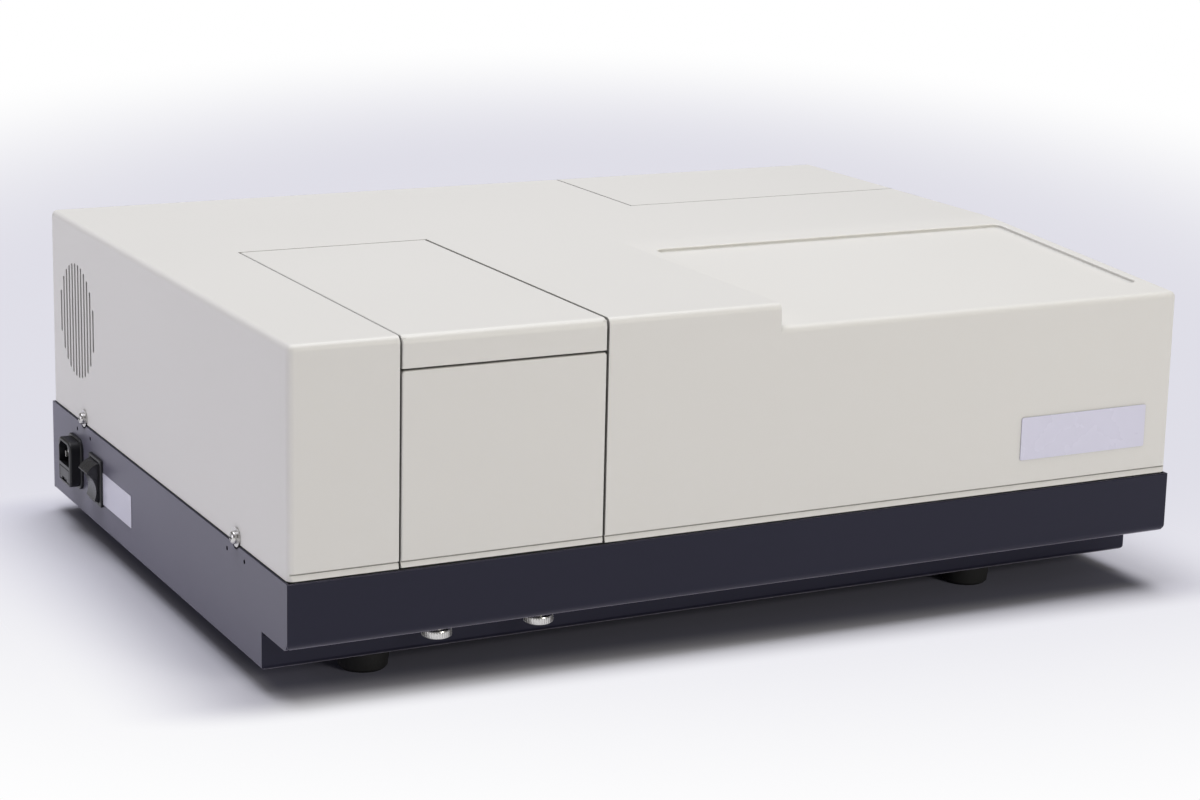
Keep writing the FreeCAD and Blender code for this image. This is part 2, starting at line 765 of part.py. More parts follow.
def corner_block(left, front, low, inset, radius):
    """Block inset from the cover's rear right corner, with that corner's edges rounded."""
    right = RIGHT - inset
    back = BACK - inset
    top = TOP - inset
    body = block(left, right, front, back, low, top)

    def on_corner(edge):
        """True for the three edges that meet at the corner."""
        box = edge.BoundBox
        touching = (box.XMin > right - 0.01, box.YMin > back - 0.01, box.ZMin > top - 0.01)
        return sum(touching) == 2

    return rounded(body, radius, on_corner)


# The base

def wall_cutters():
    """Holes through the side walls: spare holes, screw scoops, inlet and switch."""
    cutters = []
    for y, side in screw_places():
        start = Vector(side * (RIGHT + BASE_PROUD + 1), y, SEAT + SCREW_RISE)
        cutters.append(rod(WASHER_RADIUS + SCOOP_MARGIN, start, X * -side, SHEET + 2))
        for shift in (-SPARE_HOLE_OFFSET, SPARE_HOLE_OFFSET):
            hole = Vector(start.x, y + shift, BASE_TOP - SPARE_HOLE_DROP)
            cutters.append(rod(SPARE_HOLE_RADIUS, hole, X * -side, SHEET + 2))
    inlet = inlet_centre()
    cutters.append(wall_hole(inlet, INLET_WIDTH + RUNNING, INLET_HEIGHT + RUNNING))
    switch = switch_centre()
    cutters.append(wall_hole(switch, switch_body_width() + RUNNING, switch_body_height() + RUNNING))
    return cutters


def wall_hole(centre, width, height):
    """Rectangular hole through the left wall."""
    return block(
        WALL_FACE - 1, WALL_FACE + SHEET + 1, centre.y - width / 2, centre.y + width / 2,
        centre.z - height / 2, centre.z + height / 2,
    )


def base_pan():
    """Folded tray: floor, plinth at the front, and side walls that reach to the skirt."""
    right = RIGHT + BASE_PROUD
    y0 = FRONT - BASE_PROUD + SHEET
    inner = right - SHEET
    tray = tray_block(0, BASE_TOP, BEND_RADIUS)
    hollow = tray_block(SHEET, BASE_TOP + 1, BEND_RADIUS - SHEET)
    over_plinth = block(-inner, inner, PLINTH_FRONT - 1, PLINTH_FRONT + SHEET + 1, PLINTH_TOP,
                        BASE_TOP + 1)
    pan = pierced(tray, [hollow, over_plinth])
    sides = []
    for x in (-right, inner):
        side = block(x, x + SHEET, y0, PLINTH_FRONT + SHEET, SKIRT_BOTTOM, BASE_TOP)
        sides.append(rounded(side, SKIRT_BEND - SHEET, lambda edge: along(edge, X)
                             and edge.BoundBox.YMax < y0 + 1 and edge.BoundBox.ZMax < SKIRT_BOTTOM + 1))
    holes = [rod(FOOT_SCREW_RADIUS + CLEAR, place, Z, PAN_TOP + 1) for place in foot_places()]
    return pierced(fused([pan] + sides), wall_cutters() + holes + pan_vents())


def tray_block(inset, top, radius):
    """Block inset from the outside of the tray, with its lower front and side edges rounded."""
    left = WALL_FACE + inset
    right = RIGHT + BASE_PROUD - inset
    front = PLINTH_FRONT + inset
    back = BACK + BASE_PROUD - SHEET + (1 if inset else 0)
    low = PAN_BOTTOM + inset
    body = block(left, right, front, back, low, top)
    return rounded(body, radius, lambda edge: edge.BoundBox.ZMax < low + 0.01
                   and edge.BoundBox.YMin < back - 0.01)


def pan_vents():
    """Air slots in the floor under the electronics."""
    starts = [LEFT + VENT_FROM_LEFT + index * VENT_PITCH for index in range(VENT_COUNT)]
    return [
        soft_block(x, x + VENT_WIDTH, -VENT_LENGTH / 2, VENT_LENGTH / 2, PAN_BOTTOM - 1,
                   PAN_TOP + 1, VENT_WIDTH / 2.1, Z)
        for x in starts
    ]


def front_skirt():
    """Folded front: overhanging skirt, step underneath and a flange behind the plinth."""
    half = RIGHT + BASE_PROUD
    outer = FRONT - BASE_PROUD
    flange = PLINTH_FRONT + SHEET
    skirt = folded_sheet(
        [Vector(-half, outer, BASE_TOP), Vector(-half, outer, SKIRT_BOTTOM),
         Vector(-half, flange, SKIRT_BOTTOM), Vector(-half, flange, SKIRT_BOTTOM - SKIRT_FLANGE)],
        [SKIRT_BEND, BEND_RADIUS - SHEET], -SHEET, X * (2 * half),
    )
    skirt = rounded(skirt, SHEET / 3, lambda edge: along(edge, X) and edge.BoundBox.ZMin > BASE_TOP - 0.01)
    beside = [
        block(*sorted((side * (half - SHEET), side * (half + 1))), outer + SHEET,
              flange + 2 * SHEET, SKIRT_BOTTOM - SKIRT_FLANGE - 1, BASE_TOP + 1)
        for side in (-1, 1)
    ]
    holes = [
        rod(THUMB_SHANK + RUNNING, place + Z * (SKIRT_BOTTOM - 1), Z, SHEET + 2)
        for place in thumb_places()
    ]
    return pierced(skirt, beside + holes + skirt_corners())


def bend_relief(y0, y1):
    """Cutters that clear the inside of the pan's side bends."""
    inner = RIGHT + BASE_PROUD - BEND_RADIUS
    return [
        block(*sorted((side * inner, side * (inner + BEND_RADIUS))), y0, y1,
              PAN_TOP - 1, PAN_TOP + SHEET + CLEAR)
        for side in (-1, 1)
    ]


def skirt_corners():
    """Cutters that round both lower corners of the skirt's face."""
    edge = RIGHT + BASE_PROUD
    outer = FRONT - BASE_PROUD
    cutters = []
    for side in (-1, 1):
        x0, x1 = sorted((side * (edge - SKIRT_CORNER), side * (edge + 1)))
        corner = block(x0, x1, outer - 1, outer + SKIRT_BEND, SKIRT_BOTTOM - 1,
                       SKIRT_BOTTOM + SKIRT_CORNER)
        centre = Vector(side * (edge - SKIRT_CORNER), outer - 2, SKIRT_BOTTOM + SKIRT_CORNER)
        cutters.append(corner.cut(rod(SKIRT_CORNER, centre, Y, SKIRT_BEND + 4)))
    return cutters


def back_panel():
    """Rear wall of the base with a bottom flange and the hole for the data port."""
    half = RIGHT + BASE_PROUD - SHEET
    outer = BACK + BASE_PROUD
    panel = folded_sheet(
        [Vector(-half, outer, BASE_TOP), Vector(-half, outer, PAN_TOP),
         Vector(-half, outer - FLANGE_WIDTH, PAN_TOP)],
        [BEND_RADIUS], SHEET, X * (2 * half),
    )
    parts = [panel]
    for side in (-1, 1):
        x0, x1 = sorted((side * half, side * (half + SHEET)))
        parts.append(block(x0, x1, outer - SHEET, outer, PAN_TOP, BASE_TOP))
    port = port_centre()
    width = PORT_SHELL_WIDTH + CLEAR
    hole = block(port.x - width / 2, port.x + width / 2, outer - SHEET - 1, outer + 1,
                 port.z - PORT_SHELL_HEIGHT / 2 - CLEAR, port.z + PORT_SHELL_HEIGHT / 2 + CLEAR)
    screws = [
        rod(PORT_SCREW_RADIUS / 2 + CLEAR, port + X * shift - Y * (SHEET + 1), Y, SHEET + 2)
        for shift in (-PORT_SCREW_SPREAD, PORT_SCREW_SPREAD)
    ]
    relief = bend_relief(outer - FLANGE_WIDTH - 1, outer - SHEET)
    return pierced(fused(parts), [hole] + screws + relief)


def rubber_feet():
    """Four tapered feet with a recess for their screws."""
    hole = FOOT_SCREW_RADIUS + CLEAR
    well = FOOT_SCREW_HEAD + CLEAR
    low = FOOT_RADIUS - FOOT_TAPER
    profile = [
        (hole, FOOT_SEAT), (well, FOOT_SEAT), (well, 0), (low - FOOT_TAPER, 0),
        (low, FOOT_TAPER), (FOOT_RADIUS, FOOT_HEIGHT), (hole, FOOT_HEIGHT),
    ]
    return group([turned(profile, place, Z) for place in foot_places()])


def foot_screws():
    """Screws from inside each foot up through the pan."""
    bottom = FOOT_SEAT - FOOT_SCREW_HEAD_HEIGHT
    profile = [
        (0, bottom), (FOOT_SCREW_HEAD, bottom + 1), (FOOT_SCREW_HEAD, FOOT_SEAT),
        (FOOT_SCREW_RADIUS, FOOT_SEAT), (FOOT_SCREW_RADIUS, PAN_TOP + 3), (0, PAN_TOP + 3),
    ]
    return group([turned(profile, place, Z) for place in foot_places()])


def cover_screws():
    """Pan-head screws through the cover into the bench lugs."""
    head = WASHER_THICKNESS
    profile = [
        (0, head + SCREW_HEAD_HEIGHT), (SCREW_HEAD * 0.6, head + SCREW_HEAD_HEIGHT * 0.92),
        (SCREW_HEAD * 0.9, head + SCREW_HEAD_HEIGHT * 0.6), (SCREW_HEAD, head),
        (SCREW_RADIUS, head), (SCREW_RADIUS, -SCREW_LENGTH), (0, -SCREW_LENGTH),
    ]
    return group([
        turned(profile, Vector(side * RIGHT, y, SEAT + SCREW_RISE), X * side)
        for y, side in screw_places()
    ])


def cover_washers():
    """Plain washers under the cover screws."""
    inner = SCREW_RADIUS + RUNNING
    profile = [(inner, 0), (WASHER_RADIUS, 0), (WASHER_RADIUS, WASHER_THICKNESS),
               (inner, WASHER_THICKNESS)]
    return group([
        turned(profile, Vector(side * RIGHT, y, SEAT + SCREW_RISE), X * side)
        for y, side in screw_places()
    ])


# Power inlet, fuse drawer and switch

def inlet_centre():
    """Middle of the power inlet on the left wall."""
    return Vector(WALL_FACE, BACK - INLET_FROM_BACK, PAN_BOTTOM + INLET_HEIGHT_ABOVE_PAN)


def power_inlet():
    """Inlet housing: flange, proud shroud, socket cavity and a bay for the fuse drawer."""
    c = inlet_centre()
    face = c.x - INLET_PROUD
    half_width = INLET_WIDTH / 2
    half_height = INLET_HEIGHT / 2
    shroud = soft_block(face, c.x, c.y - half_width, c.y + half_width,
                        c.z - half_height, c.z + half_height, INLET_CORNER, X)
    shroud = rounded(shroud, INLET_EDGE, lambda edge: abs(edge.BoundBox.XMax - face) < 0.01)
    margin = INLET_FLANGE_MARGIN
    flange = soft_block(c.x - INLET_FLANGE, c.x, c.y - half_width - margin,
                        c.y + half_width + margin, c.z - half_height - margin,
                        c.z + half_height + margin, INLET_CORNER + margin, X)
    flange = rounded(flange, INLET_FLANGE / 3,
                     lambda edge: abs(edge.BoundBox.XMax - (c.x - INLET_FLANGE)) < 0.01)
    body = block(c.x - 1, c.x + INLET_BODY_DEPTH, c.y - half_width, c.y + half_width,
                 c.z - half_height, c.z + half_height)
    socket = outline([
        Vector(face - 1, c.y + dy, c.z + SOCKET_RISE + dz) for dy, dz in socket_outline()
    ]).extrude(X * (SOCKET_DEPTH + 1))
    bay = block(face - 1, face + DRAWER_DEPTH + CLEAR, c.y - DRAWER_WIDTH / 2 - CLEAR,
                c.y + DRAWER_WIDTH / 2 + CLEAR, c.z - DRAWER_DROP - DRAWER_HEIGHT / 2 - CLEAR,
                c.z - DRAWER_DROP + DRAWER_HEIGHT / 2 + CLEAR)
    sockets = [block(*limits) for limits in blade_places(SOCKET_DEPTH, BLADE_END)]
    return pierced(fused([shroud, flange, body]), [socket, bay] + sockets)


def socket_outline():
    """Corners of the socket mouth, with its two upper ones cut off."""
    w = SOCKET_WIDTH / 2
    h = SOCKET_HEIGHT / 2
    c = SOCKET_CHAMFER
    return [(-w, -h), (w, -h), (w, h - c), (w - c, h), (c - w, h), (-w, h - c)]


def blade_places(near, far):
    """Boxes of the three contact blades, between two depths behind the face."""
    c = inlet_centre()
    face = c.x - INLET_PROUD
    middle = c.z + SOCKET_RISE
    centres = [(-BLADE_SPREAD, -BLADE_DROP), (BLADE_SPREAD, -BLADE_DROP), (0, EARTH_RISE)]
    return [
        (face + near, face + far, c.y + dy - BLADE_WIDTH / 2, c.y + dy + BLADE_WIDTH / 2,
         middle + dz - BLADE_HEIGHT / 2, middle + dz + BLADE_HEIGHT / 2)
        for dy, dz in centres
    ]


def inlet_blades():
    """Three flat contacts standing in the socket."""
    return group([block(*limits) for limits in blade_places(BLADE_START, BLADE_END)])


def fuse_drawer():
    """Drawer with a finger lip, hollowed for the fuse."""
    c = inlet_centre()
    face = c.x - INLET_PROUD
    z = c.z - DRAWER_DROP
    half = DRAWER_WIDTH / 2
    body = block(face, face + DRAWER_DEPTH, c.y - half, c.y + half,
                 z - DRAWER_HEIGHT / 2, z + DRAWER_HEIGHT / 2)
    body = rounded(body, 0.6, lambda edge: abs(edge.BoundBox.XMax - face) < 0.01)
    trough = block(face + 2, face + 2 + FUSE_LENGTH + CLEAR * 2, c.y - FUSE_RADIUS - RUNNING,
                   c.y + FUSE_RADIUS + RUNNING, z - FUSE_RADIUS - RUNNING, z + DRAWER_HEIGHT)
    grip = soft_block(face - 1, face + 1, c.y - half / 2, c.y + half / 2,
                      z - DRAWER_HEIGHT / 2 - 1, z - DRAWER_HEIGHT / 4, 0.6, Y)
    return pierced(body, [trough, grip])


def fuse():
    """Cartridge fuse lying in the drawer."""
    c = inlet_centre()
    start = Vector(c.x - INLET_PROUD + 2 + CLEAR, c.y, c.z - DRAWER_DROP)
    cap = 5.0
    return fused([
        rod(FUSE_RADIUS - 0.2, start, X, FUSE_LENGTH),
        rod(FUSE_RADIUS, start, X, cap),
        rod(FUSE_RADIUS, start + X * (FUSE_LENGTH - cap), X, cap),
    ])


def switch_centre():
    """Pivot of the rocker, just inside the wall's face."""
    return Vector(
        WALL_FACE + PIVOT_DEPTH, BACK - SWITCH_FROM_BACK,
        PAN_BOTTOM + SWITCH_HEIGHT_ABOVE_PAN,
    )


def paddle_swing():
    """Radius swept by the ends of the paddle."""
    return math.hypot(PADDLE_REACH, PADDLE_RISE)


def switch_body_width():
    """Outer width of the switch body behind the flange."""
    return PADDLE_WIDTH + 2 * (CLEAR + TRUNNION_LENGTH + SWITCH_WALL)


def switch_body_height():
    """Outer height of the switch body behind the flange."""
    return 2 * (paddle_swing() + CLEAR + SWITCH_WALL)


def switch_frame():
    """Frame with a round trough for the rocker and two bearing holes."""
    c = switch_centre()
    outside = WALL_FACE - SWITCH_FLANGE
    half_width = switch_body_width() / 2
    half_height = switch_body_height() / 2
    flange = soft_block(
        outside, WALL_FACE, c.y - SWITCH_FLANGE_WIDTH / 2, c.y + SWITCH_FLANGE_WIDTH / 2,
        c.z - SWITCH_FLANGE_HEIGHT / 2, c.z + SWITCH_FLANGE_HEIGHT / 2, 1.5, X,
    )
    flange = rounded(flange, 0.7, lambda edge: abs(edge.BoundBox.XMax - outside) < 0.01)
    body = block(WALL_FACE - 1, WALL_FACE + SWITCH_BODY_DEPTH, c.y - half_width,
                 c.y + half_width, c.z - half_height, c.z + half_height)
    gap = PADDLE_WIDTH / 2 + CLEAR
    trough = rod(paddle_swing() + CLEAR, c - Y * gap, Y, 2 * gap)
    window = block(outside - 1, c.x, c.y - gap, c.y + gap,
                   c.z - paddle_swing() - CLEAR, c.z + paddle_swing() + CLEAR)
    floor = block(c.x + PADDLE_RISE, c.x + 2 * PADDLE_RISE, c.y - 2 * gap, c.y + 2 * gap,
                  c.z - half_height, c.z + half_height)
    reach = gap + TRUNNION_LENGTH
    bearing = rod(TRUNNION_RADIUS + RUNNING, c - Y * reach, Y, 2 * reach)
    return pierced(fused([flange, body]), [trough.cut(floor), window, bearing])


def switch_rocker():
    """Rocker with a hollowed face, stored with its upper end standing out."""
    c = switch_centre()
    swing = paddle_swing()
    half = PADDLE_WIDTH / 2
    tilt = math.asin(PADDLE_RISE / swing)
    tip_up = Vector(-PADDLE_RISE, 0, PADDLE_REACH)
    tip_down = Vector(-PADDLE_RISE, 0, -PADDLE_REACH)
    lower = Vector(2.0, 0, -swing * math.cos(math.asin(2.0 / swing)))
    upper = Vector(2.0, 0, -lower.z)
    bulge = swing
    low_mid = Vector(-bulge * math.sin(tilt / 2), 0, -bulge * math.cos(tilt / 2))
    up_mid = Vector(low_mid.x, 0, -low_mid.z)
    valley = Vector(PADDLE_VALLEY - PADDLE_RISE, 0, 0)
    edges = [
        Part.Arc(tip_up, valley, tip_down).toShape(),
        Part.Arc(tip_down, low_mid, lower).toShape(),
        Part.LineSegment(lower, upper).toShape(),
        Part.Arc(upper, up_mid, tip_up).toShape(),
    ]
    paddle = Part.Face(Part.Wire(edges)).extrude(Y * PADDLE_WIDTH)
    paddle.translate(Vector(0, -half, 0))
    paddle = rounded(paddle, 0.6, lambda edge: along(edge, Y) and edge.BoundBox.XMax < 0)
    reach = half + TRUNNION_LENGTH
    rocker = fused([paddle, rod(TRUNNION_RADIUS, -Y * reach, Y, 2 * reach)])
    rocker.rotate(Vector(0, 0, 0), Y, -PADDLE_TILT)
    rocker.translate(c)
    return rocker


# Data port

def port_centre():
    """Middle of the data port on the outer face of the back panel."""
    return Vector(LEFT + PORT_FROM_LEFT, BACK + BASE_PROUD, PAN_BOTTOM + PORT_HEIGHT_ABOVE_PAN)


def data_port():
    """Nine-way connector: flange, slanted shell and body."""
    c = port_centre()
    w = PORT_SHELL_WIDTH / 2
    h = PORT_SHELL_HEIGHT / 2
    slant = 1.5
    inside = SHEET + 8
    shell = outline([
        Vector(c.x - w + slant, c.y - inside, c.z - h),
        Vector(c.x + w - slant, c.y - inside, c.z - h),
        Vector(c.x + w, c.y - inside, c.z + h),
        Vector(c.x - w, c.y - inside, c.z + h),
    ]).extrude(Y * (inside + PORT_SHELL_PROUD))
    flange = soft_block(c.x - PORT_WIDTH / 2, c.x + PORT_WIDTH / 2, c.y, c.y + 1,
                        c.z - PORT_HEIGHT / 2, c.z + PORT_HEIGHT / 2, 1.5, Y)
    holes = [
        rod(PORT_SCREW_RADIUS / 2 + RUNNING, c + X * shift - Y, Y, 3)
        for shift in (-PORT_SCREW_SPREAD, PORT_SCREW_SPREAD)
    ]
    return pierced(fused([shell, flange]), holes)


def port_screws():
    """Hexagonal jack screws beside the data port."""
    c = port_centre()
    screws = []
    for shift in (-PORT_SCREW_SPREAD, PORT_SCREW_SPREAD):
        start = c + X * shift + Y
        angles = [k * math.pi / 3 for k in range(6)]
        corners = [
            start + Vector(math.cos(angle), 0, math.sin(angle)) * PORT_SCREW_RADIUS
            for angle in angles
        ]
        head = outline(corners).extrude(Y * PORT_SCREW_LENGTH)
        shank = rod(PORT_SCREW_RADIUS / 2, start - Y * (SHEET + 3), Y, SHEET + 4)
        screws.append(fused([head, shank]))
    return group(screws)


# Fan

def fan_centre(depth):
    """Point on the fan's axis, at a depth behind its outer face."""
    return Vector(LEFT + COVER_WALL + CLEAR + depth, BACK - FAN_FROM_BACK, SEAT + FAN_RISE)


def fan_frame():
    """Square fan frame with its round duct, motor boss, spokes and shaft."""
    c = fan_centre(0)
    half = FAN_SIZE / 2
    frame = soft_block(c.x, c.x + FAN_DEPTH, c.y - half, c.y + half, c.z - half, c.z + half, 4, X)
    frame = frame.cut(rod(FAN_BORE, c - X, X, FAN_DEPTH + 2))
    hole_at = half - FAN_SCREW_INSET
    for dy in (-hole_at, hole_at):
        for dz in (-hole_at, hole_at):
            frame = frame.cut(rod(FAN_SCREW_HOLE, c + Vector(-1, dy, dz), X, FAN_DEPTH + 2))
    inner = c + X * (FAN_DEPTH - FAN_BOSS)
    boss = rod(FAN_HUB, inner, X, FAN_BOSS)
    shaft = rod(FAN_SHAFT, c + X * FAN_BOSS, X, FAN_DEPTH - FAN_BOSS - 1)
    spokes = []
    for index in range(3):
        spoke = block(inner.x, inner.x + FAN_SPOKE - 1, -FAN_SPOKE / 2, FAN_SPOKE / 2, 0, FAN_BORE + 1)
        spoke.rotate(Vector(0, 0, 0), X, index * 120)
        spoke.translate(Vector(0, c.y, c.z))
        spokes.append(spoke)
    return fused([frame, boss, shaft] + spokes)


def fan_blade():
    """One twisted blade, lofted from root to tip, standing on the X axis."""
    stations = (
        (FAN_HUB - 1, BLADE_ROOT_LEAN, BLADE_CHORD),
        (FAN_BORE - FAN_TIP_CLEARANCE, BLADE_TIP_LEAN, BLADE_TIP_CHORD),
    )
    sections = []
    for radius, angle, chord in stations:
        lean = math.radians(angle)
        run = Vector(math.sin(lean), math.cos(lean), 0) * (chord / 2)
        thick = Vector(math.cos(lean), -math.sin(lean), 0) * (FAN_BLADE / 2)
        up = Z * radius
        sections.append(Part.makePolygon([
            up - run - thick, up + run - thick, up + run + thick, up - run + thick,
            up - run - thick,
        ]))
    return Part.makeLoft(sections, True, True)


def fan_rotor():
    """Hub with twisted blades, trimmed to the duct."""
    depth = FAN_ROTOR_DEPTH
    middle = fan_centre(FAN_FACE_GAP + depth / 2)
    hub = rod(FAN_HUB, Vector(-depth / 2, 0, 0), X, depth)
    blades = []
    for index in range(FAN_BLADES):
        blade = fan_blade()
        blade.rotate(Vector(0, 0, 0), X, index * 360.0 / FAN_BLADES)
        blades.append(blade)
    limit = rod(FAN_BORE - FAN_TIP_CLEARANCE, Vector(-depth / 2, 0, 0), X, depth)
    rotor = fused([hub] + blades).common(limit)
    rotor = rotor.cut(rod(FAN_SHAFT + RUNNING, Vector(-depth, 0, 0), X, 2 * depth))
    rotor.translate(middle)
    return rotor


def fan_bracket():
    """Folded bracket that carries the fan on the bench."""
    c = fan_centre(FAN_DEPTH)
    half = FAN_SIZE / 2
    plate = folded_sheet(
        [Vector(c.x, c.y - half, c.z + half), Vector(c.x, c.y - half, SEAT),
         Vector(c.x + FAN_BRACKET_FOOT, c.y - half, SEAT)],
        [BEND_RADIUS], SHEET, Y * FAN_SIZE,
    )
    return plate.cut(rod(FAN_BORE - 1, c - X * 2, X, SHEET + 4))


# Optical bench and sample compartment

def optical_bench():
    """Cast plate with a pocketed underside, lugs for the cover and shaft holes."""
    x0 = LEFT + BENCH_INSET
    x1 = RIGHT - BENCH_INSET
    y0 = FRONT + BENCH_INSET
    y1 = BACK - BENCH_INSET
    plate = soft_block(x0, x1, y0, y1, BENCH_BOTTOM, SEAT, BENCH_INSET, Z)
    columns = 6
    rows = 4
    pitch_x = (x1 - x0 - BENCH_RIB) / columns
    pitch_y = (y1 - y0 - 2 * PLINTH_RECESS) / rows
    cells = [
        (x0 + i * pitch_x, y0 + PLINTH_RECESS + j * pitch_y)
        for i in range(columns)
        for j in range(rows)
    ]
    pockets = [
        soft_block(x + BENCH_RIB, x + pitch_x, y + BENCH_RIB, y + pitch_y, BENCH_BOTTOM - 1,
                   BENCH_BOTTOM + BENCH_POCKET, BEND_RADIUS, Z)
        for x, y in cells
        if not under_motor(x + BENCH_RIB + pitch_x / 2, y + pitch_y / 2, pitch_x, pitch_y)
    ]
    lugs = []
    holes = []
    for y, side in screw_places():
        face = side * (RIGHT - COVER_WALL - RUNNING)
        lug_x0, lug_x1 = sorted((face, face - side * LUG_DEPTH))
        lugs.append(block(lug_x0, lug_x1, y - LUG_WIDTH / 2, y + LUG_WIDTH / 2,
                          SEAT - 1, SEAT + LUG_HEIGHT))
        start = Vector(side * RIGHT, y, SEAT + SCREW_RISE)
        holes.append(rod(SCREW_RADIUS + RUNNING, start, X * -side, SCREW_LENGTH + 1))
    for place in thumb_places():
        holes.append(rod(THUMB_SHANK + FREE, place + Z * (BENCH_BOTTOM - 1), Z, BENCH_THICKNESS + 2))
    for centre in (grating_centre(), source_centre()):
        start = Vector(centre.x, centre.y, BENCH_BOTTOM - 1)
        holes.append(rod(SHAFT_RADIUS + CLEAR, start, Z, BENCH_THICKNESS + 2))
    return pierced(fused([plate] + lugs), pockets + holes)


def under_motor(x, y, width, depth):
    """True where a motor hangs under this stretch of the bench."""
    for centre, size in ((grating_centre(), MOTOR_LARGE), (source_centre(), MOTOR_SMALL)):
        near_x = abs(centre.x - x) < (width + size) / 2
        near_y = abs(centre.y - y) < (depth + size) / 2
        if near_x and near_y:
            return True
    return False


def pillar_places():
    """Centres of the pillars between pan and bench."""
    beside_motor = grating_centre().x - MOTOR_LARGE / 2 - MOTOR_GAP - PILLAR_RADIUS
    across = (LEFT + PILLAR_INSET, LEFT + COVER_LENGTH / 3, beside_motor, RIGHT - PILLAR_INSET)
    inside = FLANGE_WIDTH + PILLAR_RADIUS + 1
    return [Vector(x, y, 0) for x in across for y in (PLINTH_FRONT + inside, BACK - inside)]


def bench_pillars():
    """Turned pillars that carry the bench."""
    neck = PILLAR_RADIUS - 1.5
    height = BENCH_BOTTOM - PAN_TOP
    profile = [
        (0, 0), (PILLAR_RADIUS, 0), (PILLAR_RADIUS, 5), (neck, 6.5), (neck, height - 6.5),
        (PILLAR_RADIUS, height - 5), (PILLAR_RADIUS, height), (0, height),
    ]
    return group([turned(profile, place + Z * PAN_TOP, Z) for place in pillar_places()])


def window_places():
    """Outer wall point and outward direction of the four beam windows."""
    return [
        (Vector(x, y, BEAM), X * side)
        for x, side in ((LINER_LEFT, -1), (LINER_RIGHT, 1))
        for y in (SAMPLE_Y, REFERENCE_Y)
    ]


def compartment_liner():
    """Black box of the sample compartment, open at the top and front, with hinge ears."""
    floor_front = FRONT + COVER_WALL + PANEL_FLANGE + FREE
    liner = block(LINER_LEFT, LINER_RIGHT, LINER_FRONT, LINER_BACK, SEAT, LINER_TOP)
    liner = liner.cut(block(
        LINER_LEFT + SHEET, LINER_RIGHT - SHEET, LINER_FRONT - 1, LINER_BACK - SHEET,
        SEAT + SHEET, LINER_TOP + 1,
    ))
    liner = liner.cut(block(
        LINER_LEFT + SHEET, LINER_RIGHT - SHEET, LINER_FRONT - 1, floor_front, SEAT - 1,
        SEAT + SHEET + 1,
    ))
    liner = liner.cut(block(LINER_LEFT - 1, LINER_RIGHT + 1, OPEN_BACK - CLEAR, LINER_BACK + 1,
                            ROOF - RETURN_DEPTH - CLEAR, LINER_TOP + 1))
    holes = [lid_tail_sweep()]
    ears = []
    for x in (LINER_LEFT, LINER_RIGHT - SHEET):
        centre = Vector(x, HINGE_Y, HINGE_Z)
        ears.append(rod(EAR_RADIUS, centre, X, SHEET))
        ears.append(block(x, x + SHEET, HINGE_Y - EAR_RADIUS, HINGE_Y + EAR_RADIUS,
                          LINER_TOP - 1, HINGE_Z))
        holes.append(rod(HINGE_PIN_RADIUS + RUNNING / 2, centre - X, X, SHEET + 2))
    for place, outward in window_places():
        holes.append(rod(WINDOW_RADIUS, place + outward, outward * -1, SHEET + 2))
    return pierced(fused([liner] + ears), holes)


def lid_tail_sweep():
    """Space that the tail of the lid swings through behind its hinge."""
    reach = math.hypot(HINGE_SETBACK, HINGE_DROP) + CLEAR
    axis = Vector(LINER_LEFT - 1, HINGE_Y, HINGE_Z)
    sweep = rod(reach, axis, X, LINER_RIGHT - LINER_LEFT + 2)
    ahead = block(LINER_LEFT - 2, LINER_RIGHT + 2, HINGE_Y - 2 * reach, HINGE_Y + EAR_RADIUS + 0.1,
                  HINGE_Z - 2 * reach, HINGE_Z + 2 * reach)
    ahead.rotate(axis, X, 90 - LID_SWING)
    return sweep.cut(ahead)


def beam_windows():
    """Quartz discs over the four beam openings of the liner."""
    return group([
        rod(WINDOW_RADIUS + WINDOW_RIM, place, outward, WINDOW_THICKNESS)
        for place, outward in window_places()
    ])


def lid_seal():
    """Foam strips on the rim of the liner, under the lid's returns."""
    back = HINGE_Y - HINGE_SETBACK
    strips = [
        block(x, x + SEAL_WIDTH, LINER_FRONT, back, LINER_TOP, LINER_TOP + SEAL_HEIGHT)
        for x in (LINER_LEFT - FREE, LINER_RIGHT + FREE - SEAL_WIDTH)
    ]
    return group(strips)


def cell_rail():
    """Plate that carries both cell holders on the compartment floor."""
    front = SAMPLE_Y - HOLDER_SIZE
    back = REFERENCE_Y + HOLDER_SIZE
    half = HOLDER_SIZE
    return soft_block(OPEN_MID - half, OPEN_MID + half, front, back, SEAT + SHEET,
                      SEAT + SHEET + RAIL_THICKNESS, BEND_RADIUS, Z)


def cell_holder(y):
    """Block with a square well for one cuvette and apertures for the beam."""
    base = SEAT + SHEET + RAIL_THICKNESS
    half = HOLDER_SIZE / 2
    body = soft_block(OPEN_MID - half, OPEN_MID + half, y - half, y + half, base,
                      base + HOLDER_HEIGHT, 2.0, Z)
    well = centred(OPEN_MID, y, base + WELL_FLOOR, WELL_SIZE, WELL_SIZE, HOLDER_HEIGHT)
    beam = rod(APERTURE_RADIUS, Vector(OPEN_MID - HOLDER_SIZE, y, BEAM), X, 2 * HOLDER_SIZE)
    return pierced(body, [well, beam])


# Light source

def source_centre():
    """Turning axis of the source mirror at beam height."""
    return Vector(LAMP_AXIS_X, LAMP_AXIS_Y, BEAM)


